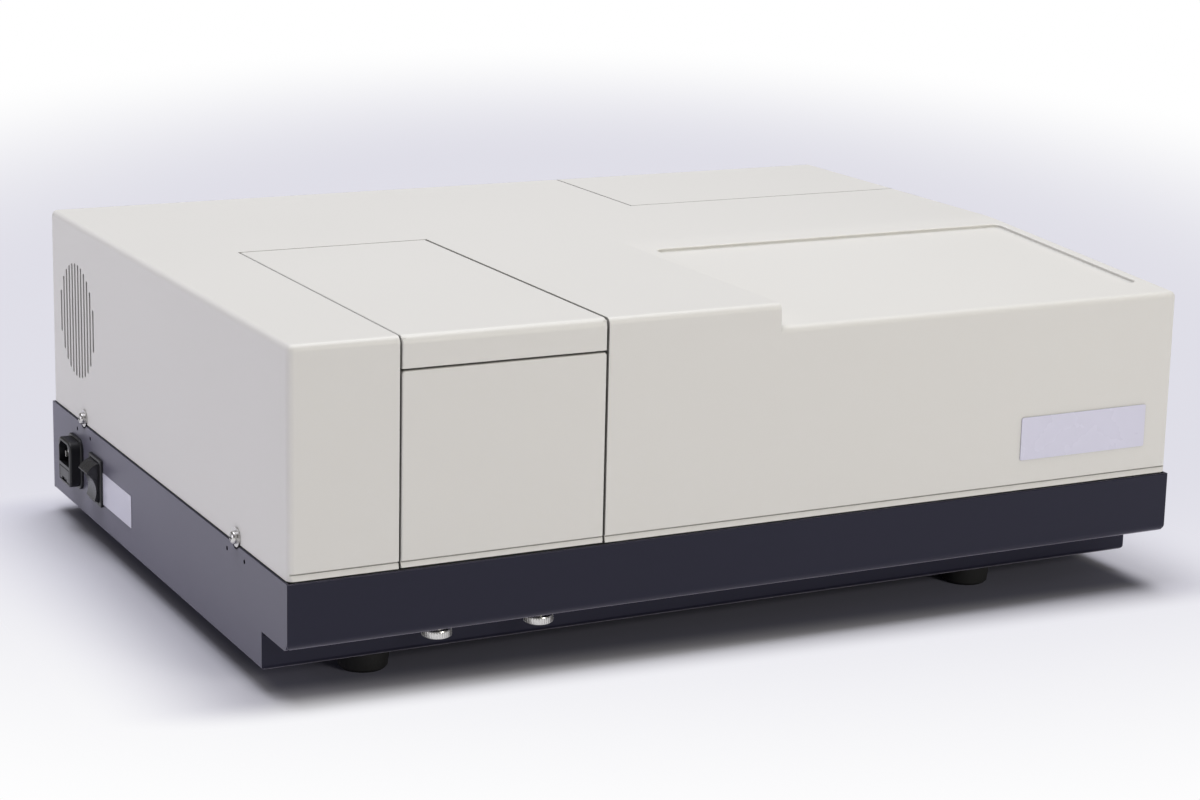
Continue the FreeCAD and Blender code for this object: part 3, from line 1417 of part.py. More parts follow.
def lamp_house():
    """Folded box round the lamps, open at the top, with a port towards the slit."""
    x0 = LAMP_LEFT + LAMP_HOUSE_MARGIN
    x1 = RIGHT - LAMP_HOUSE_FROM_RIGHT
    y0 = LAMP_FRONT + LAMP_HOUSE_MARGIN
    y1 = BACK - LAMP_HOUSE_MARGIN
    roof = TOP - LAMP_HOUSE_TOP_DROP
    starts = [x0 + HOUSE_VENT_START + index * HOUSE_VENT_PITCH for index in range(HOUSE_VENTS)]
    house = soft_block(x0, x1, y0, y1, SEAT, roof, BEND_RADIUS, Z)
    inside = soft_block(x0 + SHEET, x1 - SHEET, y0 + SHEET, y1 - SHEET, SEAT + SHEET, TOP,
                        BEND_RADIUS - SHEET, Z)
    port = rod(SLIT_RADIUS - 2, Vector(LAMP_AXIS_X, y0 - 1, BEAM), Y, SHEET + 2)
    shaft = rod(SHAFT_RADIUS + CLEAR, Vector(LAMP_AXIS_X, LAMP_AXIS_Y, SEAT - 1), Z, SHEET + 2)
    vents = [
        block(x, x + HOUSE_VENT_WIDTH, y1 - SHEET - 1, y1 + 1, roof - HOUSE_VENT_LOW,
              roof - HOUSE_VENT_HIGH)
        for x in starts
    ]
    return pierced(house, [inside, port, shaft] + vents)


def deuterium_lamp():
    """Glass envelope on its round flange."""
    base = Vector(LAMP_AXIS_X - LAMP_SPREAD, LAMP_AXIS_Y, SEAT + SHEET)
    dome = LAMP_RADIUS / 3
    top = LAMP_FLANGE + LAMP_BODY
    profile = [
        (0, 0), (LAMP_FLANGE_RADIUS, 0), (LAMP_FLANGE_RADIUS, LAMP_FLANGE - 3),
        (LAMP_RADIUS, LAMP_FLANGE), (LAMP_RADIUS, top - dome), (LAMP_RADIUS - dome, top), (0, top),
    ]
    return turned(profile, base, Z)


def tungsten_lamp():
    """Small halogen bulb in its ceramic holder."""
    base = Vector(LAMP_AXIS_X + LAMP_SPREAD, LAMP_AXIS_Y, SEAT + SHEET)
    neck = BEAM_RISE - SHEET - 8
    top = neck + 18
    profile = [
        (0, 0), (BULB_RADIUS * 2, 0), (BULB_RADIUS * 2, 8), (BULB_RADIUS + 2, 10),
        (BULB_RADIUS + 2, neck), (BULB_RADIUS, neck), (BULB_RADIUS, top - 4),
        (BULB_RADIUS / 2, top), (0, top),
    ]
    return turned(profile, base, Z)


def source_mirror():
    """Mirror on a post that turns between the two lamps."""
    c = source_centre()
    half = SOURCE_MIRROR / 2
    plate = block(-2, 2, -half, half, -half, half)
    post_bottom = SEAT + SHEET + CLEAR
    plate.rotate(Vector(0, 0, 0), Z, 135)
    plate.translate(c)
    table = rod(half * 0.8, Vector(c.x, c.y, post_bottom), Z, 3)
    post = rod(SHAFT_RADIUS, Vector(c.x, c.y, BENCH_BOTTOM + RUNNING), Z, BEAM - BENCH_BOTTOM - half + 2)
    return fused([plate, table, post])


def motor_under_bench(centre, size):
    """Square motor fixed to the underside of the bench."""
    top = BENCH_BOTTOM
    half = size / 2
    body = soft_block(centre.x - half, centre.x + half, centre.y - half, centre.y + half,
                      top - MOTOR_LENGTH, top, 3, Z)
    return body


# Filter wheel

def wheel_y():
    """Front face of the filter wheel, between slit and lamp house."""
    return MONO_BACK + WINDOW_THICKNESS + 5


def filter_wheel():
    """Wheel with a ring of filter ports, on its shaft."""
    c = Vector(LAMP_AXIS_X + WHEEL_CIRCLE, wheel_y(), BEAM)
    wheel = rod(WHEEL_RADIUS, c, Y, WHEEL_THICKNESS)
    ports = []
    for index in range(WHEEL_PORTS):
        angle = math.pi + index * 2 * math.pi / WHEEL_PORTS
        offset = Vector(math.cos(angle), 0, math.sin(angle)) * WHEEL_CIRCLE
        ports.append(rod(WHEEL_PORT, c + offset - Y, Y, WHEEL_THICKNESS + 2))
    shaft = rod(SHAFT_RADIUS / 2, c, Y, WHEEL_THICKNESS + 6)
    return fused([pierced(wheel, ports), shaft])


def filter_motor():
    """Small motor behind the wheel, on a foot that stands on the bench."""
    start = Vector(LAMP_AXIS_X + WHEEL_CIRCLE, wheel_y() + WHEEL_THICKNESS + FREE, BEAM)
    radius = WHEEL_CIRCLE - WHEEL_PORT - 1.5
    length = 10.0
    can = rod(radius, start, Y, length)
    foot = block(start.x - radius, start.x + radius, start.y, start.y + length, SEAT, BEAM)
    bore = rod(SHAFT_RADIUS / 2 + RUNNING, start - Y, Y, 8)
    return pierced(fused([can, foot]), [bore])


# Monochromator

def mono_housing():
    """Cast box of the monochromator, open at the top, with entrance and exit ports."""
    top = SEAT + MONO_HEIGHT
    box = soft_block(MONO_LEFT, MONO_RIGHT, MONO_FRONT, MONO_BACK, SEAT, top, 6, Z)
    inside = soft_block(MONO_LEFT + MONO_WALL, MONO_RIGHT - MONO_WALL, MONO_FRONT + MONO_WALL,
                        MONO_BACK - MONO_WALL, SEAT + MONO_WALL, top + 1, 4, Z)
    entrance = rod(SLIT_LENGTH, Vector(LAMP_AXIS_X, MONO_BACK + 1, BEAM), Y * -1, MONO_WALL + 2)
    exit_port = rod(SLIT_LENGTH, Vector(MONO_LEFT - 1, REFERENCE_Y, BEAM), X, MONO_WALL + 2)
    grating = grating_centre()
    shaft = rod(SHAFT_RADIUS + RUNNING, Vector(grating.x, grating.y, SEAT - 1), Z, MONO_WALL + 2)
    return pierced(box, [inside, entrance, exit_port, shaft])


def mono_cover():
    """Flat cover of the monochromator with a locating rib."""
    top = SEAT + MONO_HEIGHT
    plate = soft_block(MONO_LEFT, MONO_RIGHT, MONO_FRONT, MONO_BACK, top, top + MONO_COVER, 6, Z)
    inset = MONO_WALL + CLEAR
    rib = soft_block(MONO_LEFT + inset, MONO_RIGHT - inset, MONO_FRONT + inset, MONO_BACK - inset,
                     top - 3, top + 1, 4, Z)
    hollow = soft_block(MONO_LEFT + inset + 2, MONO_RIGHT - inset - 2, MONO_FRONT + inset + 2,
                        MONO_BACK - inset - 2, top - 4, top, 2, Z)
    return fused([plate, rib.cut(hollow)])


def slit_plate(place, outward):
    """Round plate with a narrow slit, on the outside of the housing."""
    plate = rod(SLIT_RADIUS, place, outward, WINDOW_THICKNESS)
    across = Vector(abs(outward.y), abs(outward.x), 0)
    low = place - outward - across * (SLIT_WIDTH / 2) - Z * (SLIT_LENGTH / 2)
    high = place + outward * (WINDOW_THICKNESS + 1) + across * (SLIT_WIDTH / 2) + Z * (SLIT_LENGTH / 2)
    slit = block(min(low.x, high.x), max(low.x, high.x), min(low.y, high.y), max(low.y, high.y),
                 low.z, high.z)
    return plate.cut(slit)


def concave_mirror(y):
    """Concave mirror facing left, near the right wall of the monochromator."""
    back = Vector(MONO_RIGHT - MONO_WALL - 12, y, BEAM)
    profile = [(0, 0), (MIRROR_RADIUS, 0), (MIRROR_RADIUS, MIRROR_THICKNESS)]
    steps = 6
    for index in range(1, steps + 1):
        share = 1 - index / steps
        depth = MIRROR_SAGITTA * (1 - share ** 2)
        profile.append((MIRROR_RADIUS * share, MIRROR_THICKNESS - depth))
    return turned(profile, back, X * -1)


def collimator_y():
    """Depth at which the collimating mirror stands."""
    return REFERENCE_Y + MIRROR_SPACING


def flat_mirrors():
    """Centre and facing direction of the two flat folding mirrors."""
    return [
        (Vector(LAMP_AXIS_X, collimator_y(), BEAM), Vector(1, 1, 0).normalize()),
        (Vector(CHOPPER_X, SAMPLE_Y, BEAM), Vector(-1, 1, 0).normalize()),
    ]


def flat_mirror(index):
    """Flat mirror plate with its coated face on the beam."""
    place, facing = flat_mirrors()[index]
    half = SOURCE_MIRROR / 2
    plate = block(-4, 0, -half, half, -half, half)
    plate.Placement = FreeCAD.Placement(place, FreeCAD.Rotation(X, facing))
    return plate


def mirror_mounts():
    """Posts that hold the concave and flat mirrors from behind."""
    mounts = []
    floor = SEAT + MONO_WALL
    for y in (collimator_y(), REFERENCE_Y):
        x = MONO_RIGHT - MONO_WALL - 12
        mounts.append(block(x, x + 8, y - MIRROR_RADIUS + 4, y + MIRROR_RADIUS - 4, floor,
                            BEAM + MIRROR_RADIUS - 4))
    half = SOURCE_MIRROR / 2
    for (place, facing), base in zip(flat_mirrors(), (floor, SEAT)):
        post = block(-12, -4, -half + 2, half - 2, base - BEAM, half - 2)
        post.Placement = FreeCAD.Placement(place, FreeCAD.Rotation(X, facing))
        mounts.append(post)
    return group(mounts)


def grating_centre():
    """Turning axis of the diffraction grating."""
    return Vector(MONO_LEFT + GRATING_FROM_LEFT, SAMPLE_Y + GRATING_BEHIND_SAMPLE, BEAM)


def diffraction_grating():
    """Grating in its holder on the turntable, with the shaft down to its motor."""
    c = grating_centre()
    floor = SEAT + MONO_WALL + CLEAR
    table = rod(GRATING_TABLE, Vector(c.x, c.y, floor), Z, 6)
    shaft = rod(SHAFT_RADIUS, Vector(c.x, c.y, BENCH_BOTTOM + RUNNING), Z, floor - BENCH_BOTTOM + 2)
    half = GRATING_SIZE / 2
    holder = block(-GRATING_THICKNESS - 4, -GRATING_THICKNESS, -half + 6, half - 6,
                   floor + 5 - BEAM, half - 6)
    plate = block(-GRATING_THICKNESS, 0, -half + 4, half - 4, floor + 6 - BEAM, half)
    turn = FreeCAD.Rotation(Z, 22)
    for piece in (holder, plate):
        piece.Placement = FreeCAD.Placement(c, turn)
    return fused([table, shaft, holder, plate])


# Chopper

def chopper_centre():
    """Centre of the chopper disc, above the beam."""
    return Vector(CHOPPER_X, REFERENCE_Y, BEAM + CHOPPER_OFFSET)


def chopper_disc():
    """Disc with two open quarters, on its hub and shaft."""
    c = chopper_centre()
    disc = rod(CHOPPER_RADIUS, c, CHOPPER_AXIS, CHOPPER_THICKNESS)
    ring = CHOPPER_RADIUS - 4
    windows = []
    for start in (0, 180):
        inner = 9.0
        edge = outline([
            Vector(0, 0, 0),
            Vector(0, ring * 1.5, -ring * 1.5 * 0.7), Vector(0, ring * 1.5, ring * 1.5 * 0.7),
        ]).extrude(X * 8)
        edge.translate(Vector(-4, 0, 0))
        edge = edge.common(rod(ring, Vector(-5, 0, 0), X, 10)).cut(rod(inner, Vector(-5, 0, 0), X, 10))
        edge.rotate(Vector(0, 0, 0), X, start + 90)
        edge.Placement = FreeCAD.Placement(c, FreeCAD.Rotation(X, CHOPPER_AXIS)).multiply(edge.Placement)
        windows.append(edge)
    hub = rod(7, c - CHOPPER_AXIS * 4, CHOPPER_AXIS, 4 + CHOPPER_THICKNESS + 2)
    shaft = rod(SHAFT_RADIUS / 2, c - CHOPPER_AXIS * 10, CHOPPER_AXIS, 10)
    return fused([pierced(disc, windows), hub, shaft])


def chopper_motor():
    """Motor behind the chopper, on a foot that clears the beam."""
    radius = 12.0
    length = 26.0
    start = chopper_centre() - CHOPPER_AXIS * (4 + FREE)
    can = rod(radius, start - CHOPPER_AXIS * length, CHOPPER_AXIS, length)
    foot = block(-length, -length + 10, -radius + 2, radius - 2, SEAT - start.z, 0)
    foot.Placement = FreeCAD.Placement(start, FreeCAD.Rotation(X, CHOPPER_AXIS))
    bore = rod(SHAFT_RADIUS / 2 + RUNNING, start - CHOPPER_AXIS * 8, CHOPPER_AXIS, 9)
    return pierced(fused([can, foot]), [bore])


# Detectors and electronics

def detector(y):
    """Detector housing with a tube that faces the compartment window."""
    x = LINER_LEFT - DETECTOR_TO_LINER
    body = soft_block(x - DETECTOR_SIZE / 2, x + DETECTOR_SIZE / 2, y - DETECTOR_SIZE / 2,
                      y + DETECTOR_SIZE / 2, SEAT, SEAT + DETECTOR_HEIGHT, 3, Z)
    start = Vector(x, y, BEAM)
    reach = DETECTOR_TO_LINER - WINDOW_THICKNESS - 2
    tube = rod(DETECTOR_TUBE, start, X, reach)
    bore = rod(DETECTOR_TUBE - 1.5, start, X, reach + 1)
    return pierced(fused([body, tube]), [bore])


def detector_lenses():
    """Plano-convex lenses just inside the detector tubes."""
    radius = DETECTOR_TUBE - 1.5 - RUNNING
    profile = [(0, 0), (radius, 0), (radius, 2), (radius * 0.75, 3.1), (radius * 0.4, 3.9), (0, 4.2)]
    x = LINER_LEFT - WINDOW_THICKNESS - 2 - 6
    return group([turned(profile, Vector(x, y, BEAM), X) for y in (SAMPLE_Y, REFERENCE_Y)])


def board_limits():
    """Left, right, front and back of the main board."""
    return (LEFT + BOARD_FROM_LEFT, RIGHT - BOARD_FROM_RIGHT, FRONT + BOARD_FROM_FRONT,
            BACK - BOARD_FROM_BACK)


def amplifier_limits():
    """Left, right, front and back of the amplifier board."""
    x = LINER_LEFT - DETECTOR_TO_LINER
    front = REFERENCE_Y + AMPLIFIER_BEHIND_BEAM
    return (x - AMPLIFIER_WIDTH / 2, x + AMPLIFIER_WIDTH / 2, front, front + AMPLIFIER_LENGTH)


def populated_board(limits, base):
    """Circuit board with its connectors and larger components."""
    x0, x1, y0, y1 = limits
    top = base + BOARD
    board = soft_block(x0, x1, y0, y1, base, top, STANDOFF_RADIUS, Z)
    parts = [board]
    width = x1 - x0
    depth = y1 - y0
    for column, row, length, breadth, height in (
        (0.10, 0.15, 0.18, 0.10, 0.67), (0.40, 0.20, 0.12, 0.14, 0.25), (0.66, 0.55, 0.14, 0.16, 1),
        (0.12, 0.60, 0.10, 0.12, 0.42), (0.38, 0.62, 0.16, 0.08, 0.50), (0.70, 0.14, 0.10, 0.20, 0.75),
    ):
        parts.append(block(x0 + width * column, x0 + width * (column + length),
                           y0 + depth * row, y0 + depth * (row + breadth), top - BOARD / 2,
                           top + TALLEST_PART * height))
    return fused(parts)


def board_standoffs():
    """Round standoffs under both boards."""
    posts = []
    for limits, base in ((board_limits(), PAN_TOP), (amplifier_limits(), SEAT)):
        x0, x1, y0, y1 = limits
        for x in (x0 + STANDOFF_INSET, x1 - STANDOFF_INSET):
            for y in (y0 + STANDOFF_INSET, y1 - STANDOFF_INSET):
                posts.append(rod(STANDOFF_RADIUS, Vector(x, y, base), Z, BOARD_RISE))
    return group(posts)


def power_supply():
    """Closed supply unit with cooling fins, beside the inlet."""
    x0 = LEFT + SUPPLY_FROM_LEFT
    y1 = BACK - SUPPLY_FROM_BACK
    body = soft_block(x0, x0 + SUPPLY_WIDTH, y1 - SUPPLY_LENGTH, y1, PAN_TOP,
                      PAN_TOP + SUPPLY_HEIGHT, 2, Z)
    slots = [
        block(x0 + 10, x0 + SUPPLY_WIDTH - 10, y, y + 3, PAN_TOP + SUPPLY_HEIGHT - 3,
              PAN_TOP + SUPPLY_HEIGHT + 1)
        for y in (y1 - SUPPLY_LENGTH + 12 + 10 * index for index in range(12))
    ]
    return pierced(body, slots)


def transformer():
    """Laminated core with its winding and mounting feet."""
    x = LEFT + SUPPLY_FROM_LEFT + SUPPLY_WIDTH + TRANSFORMER + 10
    y = BACK - SUPPLY_FROM_BACK - SUPPLY_LENGTH / 2
    half = TRANSFORMER / 2
    height = TRANSFORMER - 8
    core = block(x - half, x + half, y - half * 0.5, y + half * 0.5, PAN_TOP, PAN_TOP + height)
    winding = soft_block(x - half * 0.55, x + half * 0.55, y - half * 0.95, y + half * 0.95,
                         PAN_TOP + 6, PAN_TOP + height - 6, 4, Z)
    feet = block(x - half - 8, x + half + 8, y - half * 0.4, y + half * 0.4, PAN_TOP, PAN_TOP + 2)
    return fused([core, winding, feet])


def build():
    """All sub-parts by node name."""
    left_thumb, right_thumb = thumb_places()
    rear_wall = Vector(LAMP_AXIS_X, MONO_BACK, BEAM)
    left_wall = Vector(MONO_LEFT, REFERENCE_Y, BEAM)
    return {
        "top_cover": top_cover(),
        "lamp_cover": lamp_cover(),
        "compartment_lid": compartment_lid(),
        "lid_hinge_pins": lid_hinge_pins(),
        "compartment_front_panel": front_panel(),
        "left_thumb_screw": thumb_screw(left_thumb),
        "right_thumb_screw": thumb_screw(right_thumb),
        "base_pan": base_pan(),
        "front_skirt": front_skirt(),
        "back_panel": back_panel(),
        "rubber_feet": rubber_feet(),
        "foot_screws": foot_screws(),
        "cover_screws": cover_screws(),
        "cover_washers": cover_washers(),
        "power_inlet": power_inlet(),
        "inlet_blades": inlet_blades(),
        "fuse_drawer": fuse_drawer(),
        "fuse": fuse(),
        "switch_frame": switch_frame(),
        "switch_rocker": switch_rocker(),
        "data_port": data_port(),
        "data_port_screws": port_screws(),
        "fan_frame": fan_frame(),
        "fan_rotor": fan_rotor(),
        "fan_bracket": fan_bracket(),
        "optical_bench": optical_bench(),
        "bench_pillars": bench_pillars(),
        "compartment_liner": compartment_liner(),
        "beam_windows": beam_windows(),
        "lid_seal": lid_seal(),
        "cell_rail": cell_rail(),
        "sample_cell_holder": cell_holder(SAMPLE_Y),
        "reference_cell_holder": cell_holder(REFERENCE_Y),
        "lamp_house": lamp_house(),
        "deuterium_lamp": deuterium_lamp(),
        "tungsten_lamp": tungsten_lamp(),
        "source_mirror": source_mirror(),
        "source_mirror_motor": motor_under_bench(source_centre(), MOTOR_SMALL),
        "filter_wheel": filter_wheel(),
        "filter_wheel_motor": filter_motor(),
        "monochromator_housing": mono_housing(),
        "monochromator_cover": mono_cover(),
        "entrance_slit": slit_plate(rear_wall, Y),
        "exit_slit": slit_plate(left_wall, X * -1),
        "collimating_mirror": concave_mirror(collimator_y()),
        "focusing_mirror": concave_mirror(REFERENCE_Y),
        "folding_mirror": flat_mirror(0),
        "sample_beam_mirror": flat_mirror(1),
        "mirror_mounts": mirror_mounts(),
        "diffraction_grating": diffraction_grating(),
        "grating_motor": motor_under_bench(grating_centre(), MOTOR_LARGE),
        "chopper_disc": chopper_disc(),
        "chopper_motor": chopper_motor(),
        "sample_detector": detector(SAMPLE_Y),
        "reference_detector": detector(REFERENCE_Y),
        "detector_lenses": detector_lenses(),
        "main_board": populated_board(board_limits(), PAN_TOP + BOARD_RISE),
        "amplifier_board": populated_board(amplifier_limits(), SEAT + BOARD_RISE),
        "board_standoffs": board_standoffs(),
        "power_supply_and_transformer": group([power_supply(), transformer()]),
    }


os.makedirs("parts", exist_ok=True)
for node, shape in build().items():
    shape.exportStep("parts/" + node + ".step")
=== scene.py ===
import logging
import math
from dataclasses import dataclass, field
from enum import Enum
from typing import Callable, Iterable, Sequence

import bmesh
import bpy
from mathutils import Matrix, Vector


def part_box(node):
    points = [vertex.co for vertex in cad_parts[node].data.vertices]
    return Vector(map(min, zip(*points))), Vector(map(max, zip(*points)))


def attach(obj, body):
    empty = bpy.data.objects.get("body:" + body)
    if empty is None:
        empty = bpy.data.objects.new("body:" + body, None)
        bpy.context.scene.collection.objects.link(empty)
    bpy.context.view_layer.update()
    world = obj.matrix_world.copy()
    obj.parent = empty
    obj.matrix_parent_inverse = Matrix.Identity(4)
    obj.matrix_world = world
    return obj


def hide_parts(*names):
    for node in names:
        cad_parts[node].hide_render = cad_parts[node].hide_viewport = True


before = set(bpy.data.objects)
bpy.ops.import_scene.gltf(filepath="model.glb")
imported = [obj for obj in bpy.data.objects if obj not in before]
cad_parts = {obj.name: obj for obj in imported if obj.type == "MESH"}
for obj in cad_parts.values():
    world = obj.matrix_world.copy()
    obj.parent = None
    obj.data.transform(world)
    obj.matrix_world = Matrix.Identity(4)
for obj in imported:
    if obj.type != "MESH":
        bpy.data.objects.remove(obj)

logging.basicConfig(level=logging.INFO, format="%(message)s")
LOG = logging.getLogger("spectrophotometer")
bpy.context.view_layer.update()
MM = 0.001


class Side(Enum):
    """A wall that a plate lies on, with the index of the axis that the wall faces against."""

    LEFT = 0
    FRONT = 1


class Body(Enum):
    """The bodies that new pieces ride on."""

    INSTRUMENT = "instrument"
    LEFT_THUMB = "left_thumb"
    RIGHT_THUMB = "right_thumb"


# Shared shader effects

def new_group(name: str, inputs: Sequence[tuple[str, str, object]],
              outputs: Sequence[tuple[str, str]]) -> bpy.types.NodeTree:
    """Starts a shader node group with named sockets.

    Args:
        name: The group's name.
        inputs: Name, socket type and default value of each input.
        outputs: Name and socket type of each output.

    Returns:
        The group, with its input and output nodes.
    """
    tree = bpy.data.node_groups.new(name, "ShaderNodeTree")
    for label, kind, value in inputs:
        socket = tree.interface.new_socket(name=label, in_out="INPUT", socket_type=kind)
        if value is not None:
            socket.default_value = value
    for label, kind in outputs:
        tree.interface.new_socket(name=label, in_out="OUTPUT", socket_type=kind)
    tree.nodes.new("NodeGroupInput")
    tree.nodes.new("NodeGroupOutput")
    return tree


class Effects:
    """The node groups that several finishes share."""

    def __init__(self) -> None:
        """Builds each group once."""
        self.grain = self._grain()
        self.brushed = self._brushed()

    @staticmethod
    def _grain() -> bpy.types.NodeTree:
        """Builds the group for fine grain and soft mottling.

        Returns:
            The group. It puts out a colour, a roughness and a height.
        """
        tree = new_group(
            "fine_grain",
            [("Colour", "NodeSocketColor", (0.5, 0.5, 0.5, 1.0)),
             ("Mottle Colour", "NodeSocketColor", (0.5, 0.5, 0.5, 1.0)),
             ("Grain Scale", "NodeSocketFloat", 900.0),
             ("Mottle Scale", "NodeSocketFloat", 6.0),
             ("Mottle", "NodeSocketFloat", 0.3),
             ("Rough Low", "NodeSocketFloat", 0.3),
             ("Rough High", "NodeSocketFloat", 0.4)],
            [("Colour", "NodeSocketColor"), ("Roughness", "NodeSocketFloat"),
             ("Height", "NodeSocketFloat")],
        )
        nodes, links = tree.nodes, tree.links
        start = nodes["Group Input"]
        end = nodes["Group Output"]
        place = nodes.new("ShaderNodeTexCoord")
        cloud = nodes.new("ShaderNodeTexNoise")
        cloud.inputs["Detail"].default_value = 4.0
        links.new(place.outputs["Object"], cloud.inputs["Vector"])
        links.new(start.outputs["Mottle Scale"], cloud.inputs["Scale"])
        amount = nodes.new("ShaderNodeMath")
        amount.operation = "MULTIPLY"
        links.new(cloud.outputs["Fac"], amount.inputs[0])
        links.new(start.outputs["Mottle"], amount.inputs[1])
        mix = nodes.new("ShaderNodeMix")
        mix.data_type = "RGBA"
        links.new(amount.outputs[0], mix.inputs["Factor"])
        links.new(start.outputs["Colour"], mix.inputs["A"])
        links.new(start.outputs["Mottle Colour"], mix.inputs["B"])
        links.new(mix.outputs["Result"], end.inputs["Colour"])
        fine = nodes.new("ShaderNodeTexNoise")
        fine.inputs["Detail"].default_value = 2.0
        links.new(place.outputs["Object"], fine.inputs["Vector"])
        links.new(start.outputs["Grain Scale"], fine.inputs["Scale"])
        links.new(fine.outputs["Fac"], end.inputs["Height"])
        gloss = nodes.new("ShaderNodeMapRange")
        links.new(cloud.outputs["Fac"], gloss.inputs["Value"])
        links.new(start.outputs["Rough Low"], gloss.inputs["To Min"])
        links.new(start.outputs["Rough High"], gloss.inputs["To Max"])
        links.new(gloss.outputs["Result"], end.inputs["Roughness"])
        return tree

    @staticmethod
    def _brushed() -> bpy.types.NodeTree:
        """Builds the group for drawn or turned metal with long fine lines.

        Returns:
            The group. It puts out a colour, a roughness and a height.
        """
        tree = new_group(
            "brushed_lines",
            [("Colour", "NodeSocketColor", (0.6, 0.6, 0.6, 1.0)),
             ("Dull Colour", "NodeSocketColor", (0.4, 0.4, 0.4, 1.0)),
             ("Stretch", "NodeSocketVector", (40.0, 40.0, 1500.0)),
             ("Rough Low", "NodeSocketFloat", 0.2),
             ("Rough High", "NodeSocketFloat", 0.4)],
            [("Colour", "NodeSocketColor"), ("Roughness", "NodeSocketFloat"),
             ("Height", "NodeSocketFloat")],
        )
        nodes, links = tree.nodes, tree.links
        start = nodes["Group Input"]
        end = nodes["Group Output"]
        place = nodes.new("ShaderNodeTexCoord")
        stretch = nodes.new("ShaderNodeVectorMath")
        stretch.operation = "MULTIPLY"
        links.new(place.outputs["Object"], stretch.inputs[0])
        links.new(start.outputs["Stretch"], stretch.inputs[1])
        lines = nodes.new("ShaderNodeTexNoise")
        lines.inputs["Scale"].default_value = 1.0
        lines.inputs["Detail"].default_value = 3.0
        links.new(stretch.outputs["Vector"], lines.inputs["Vector"])
        links.new(lines.outputs["Fac"], end.inputs["Height"])
        mix = nodes.new("ShaderNodeMix")
        mix.data_type = "RGBA"
        links.new(lines.outputs["Fac"], mix.inputs["Factor"])
        links.new(start.outputs["Colour"], mix.inputs["A"])
        links.new(start.outputs["Dull Colour"], mix.inputs["B"])
        links.new(mix.outputs["Result"], end.inputs["Colour"])
        gloss = nodes.new("ShaderNodeMapRange")
        links.new(lines.outputs["Fac"], gloss.inputs["Value"])
        links.new(start.outputs["Rough Low"], gloss.inputs["To Min"])
        links.new(start.outputs["Rough High"], gloss.inputs["To Max"])
        links.new(gloss.outputs["Result"], end.inputs["Roughness"])
        return tree


# Finishes

Colour = tuple[float, float, float]
WHITE: Colour = (1.0, 1.0, 1.0)


def rgba(colour: Colour) -> tuple[float, float, float, float]:
    """Adds full opacity to a colour."""
    return (*colour, 1.0)


def blank_material(name: str) -> tuple[bpy.types.Material, bpy.types.Node]:
    """Makes a material with one Principled shader.

    Args:
        name: The material's name.

    Returns:
        The material and its shader node.
    """
    material = bpy.data.materials.new(name)
    material.use_nodes = True
    return material, material.node_tree.nodes["Principled BSDF"]


def add_bump(material: bpy.types.Material, height: bpy.types.NodeSocket,
             strength: float, depth: float) -> None:
    """Feeds a height into the shader's normal.

    Args:
        material: The material to change.
        height: The output socket that gives the height.
        strength: Share of the full effect.
        depth: Depth of the relief in metres.
    """
    tree = material.node_tree
    bump = tree.nodes.new("ShaderNodeBump")
    bump.inputs["Strength"].default_value = strength
    bump.inputs["Distance"].default_value = depth
    tree.links.new(height, bump.inputs["Height"])
    tree.links.new(bump.outputs["Normal"], tree.nodes["Principled BSDF"].inputs["Normal"])


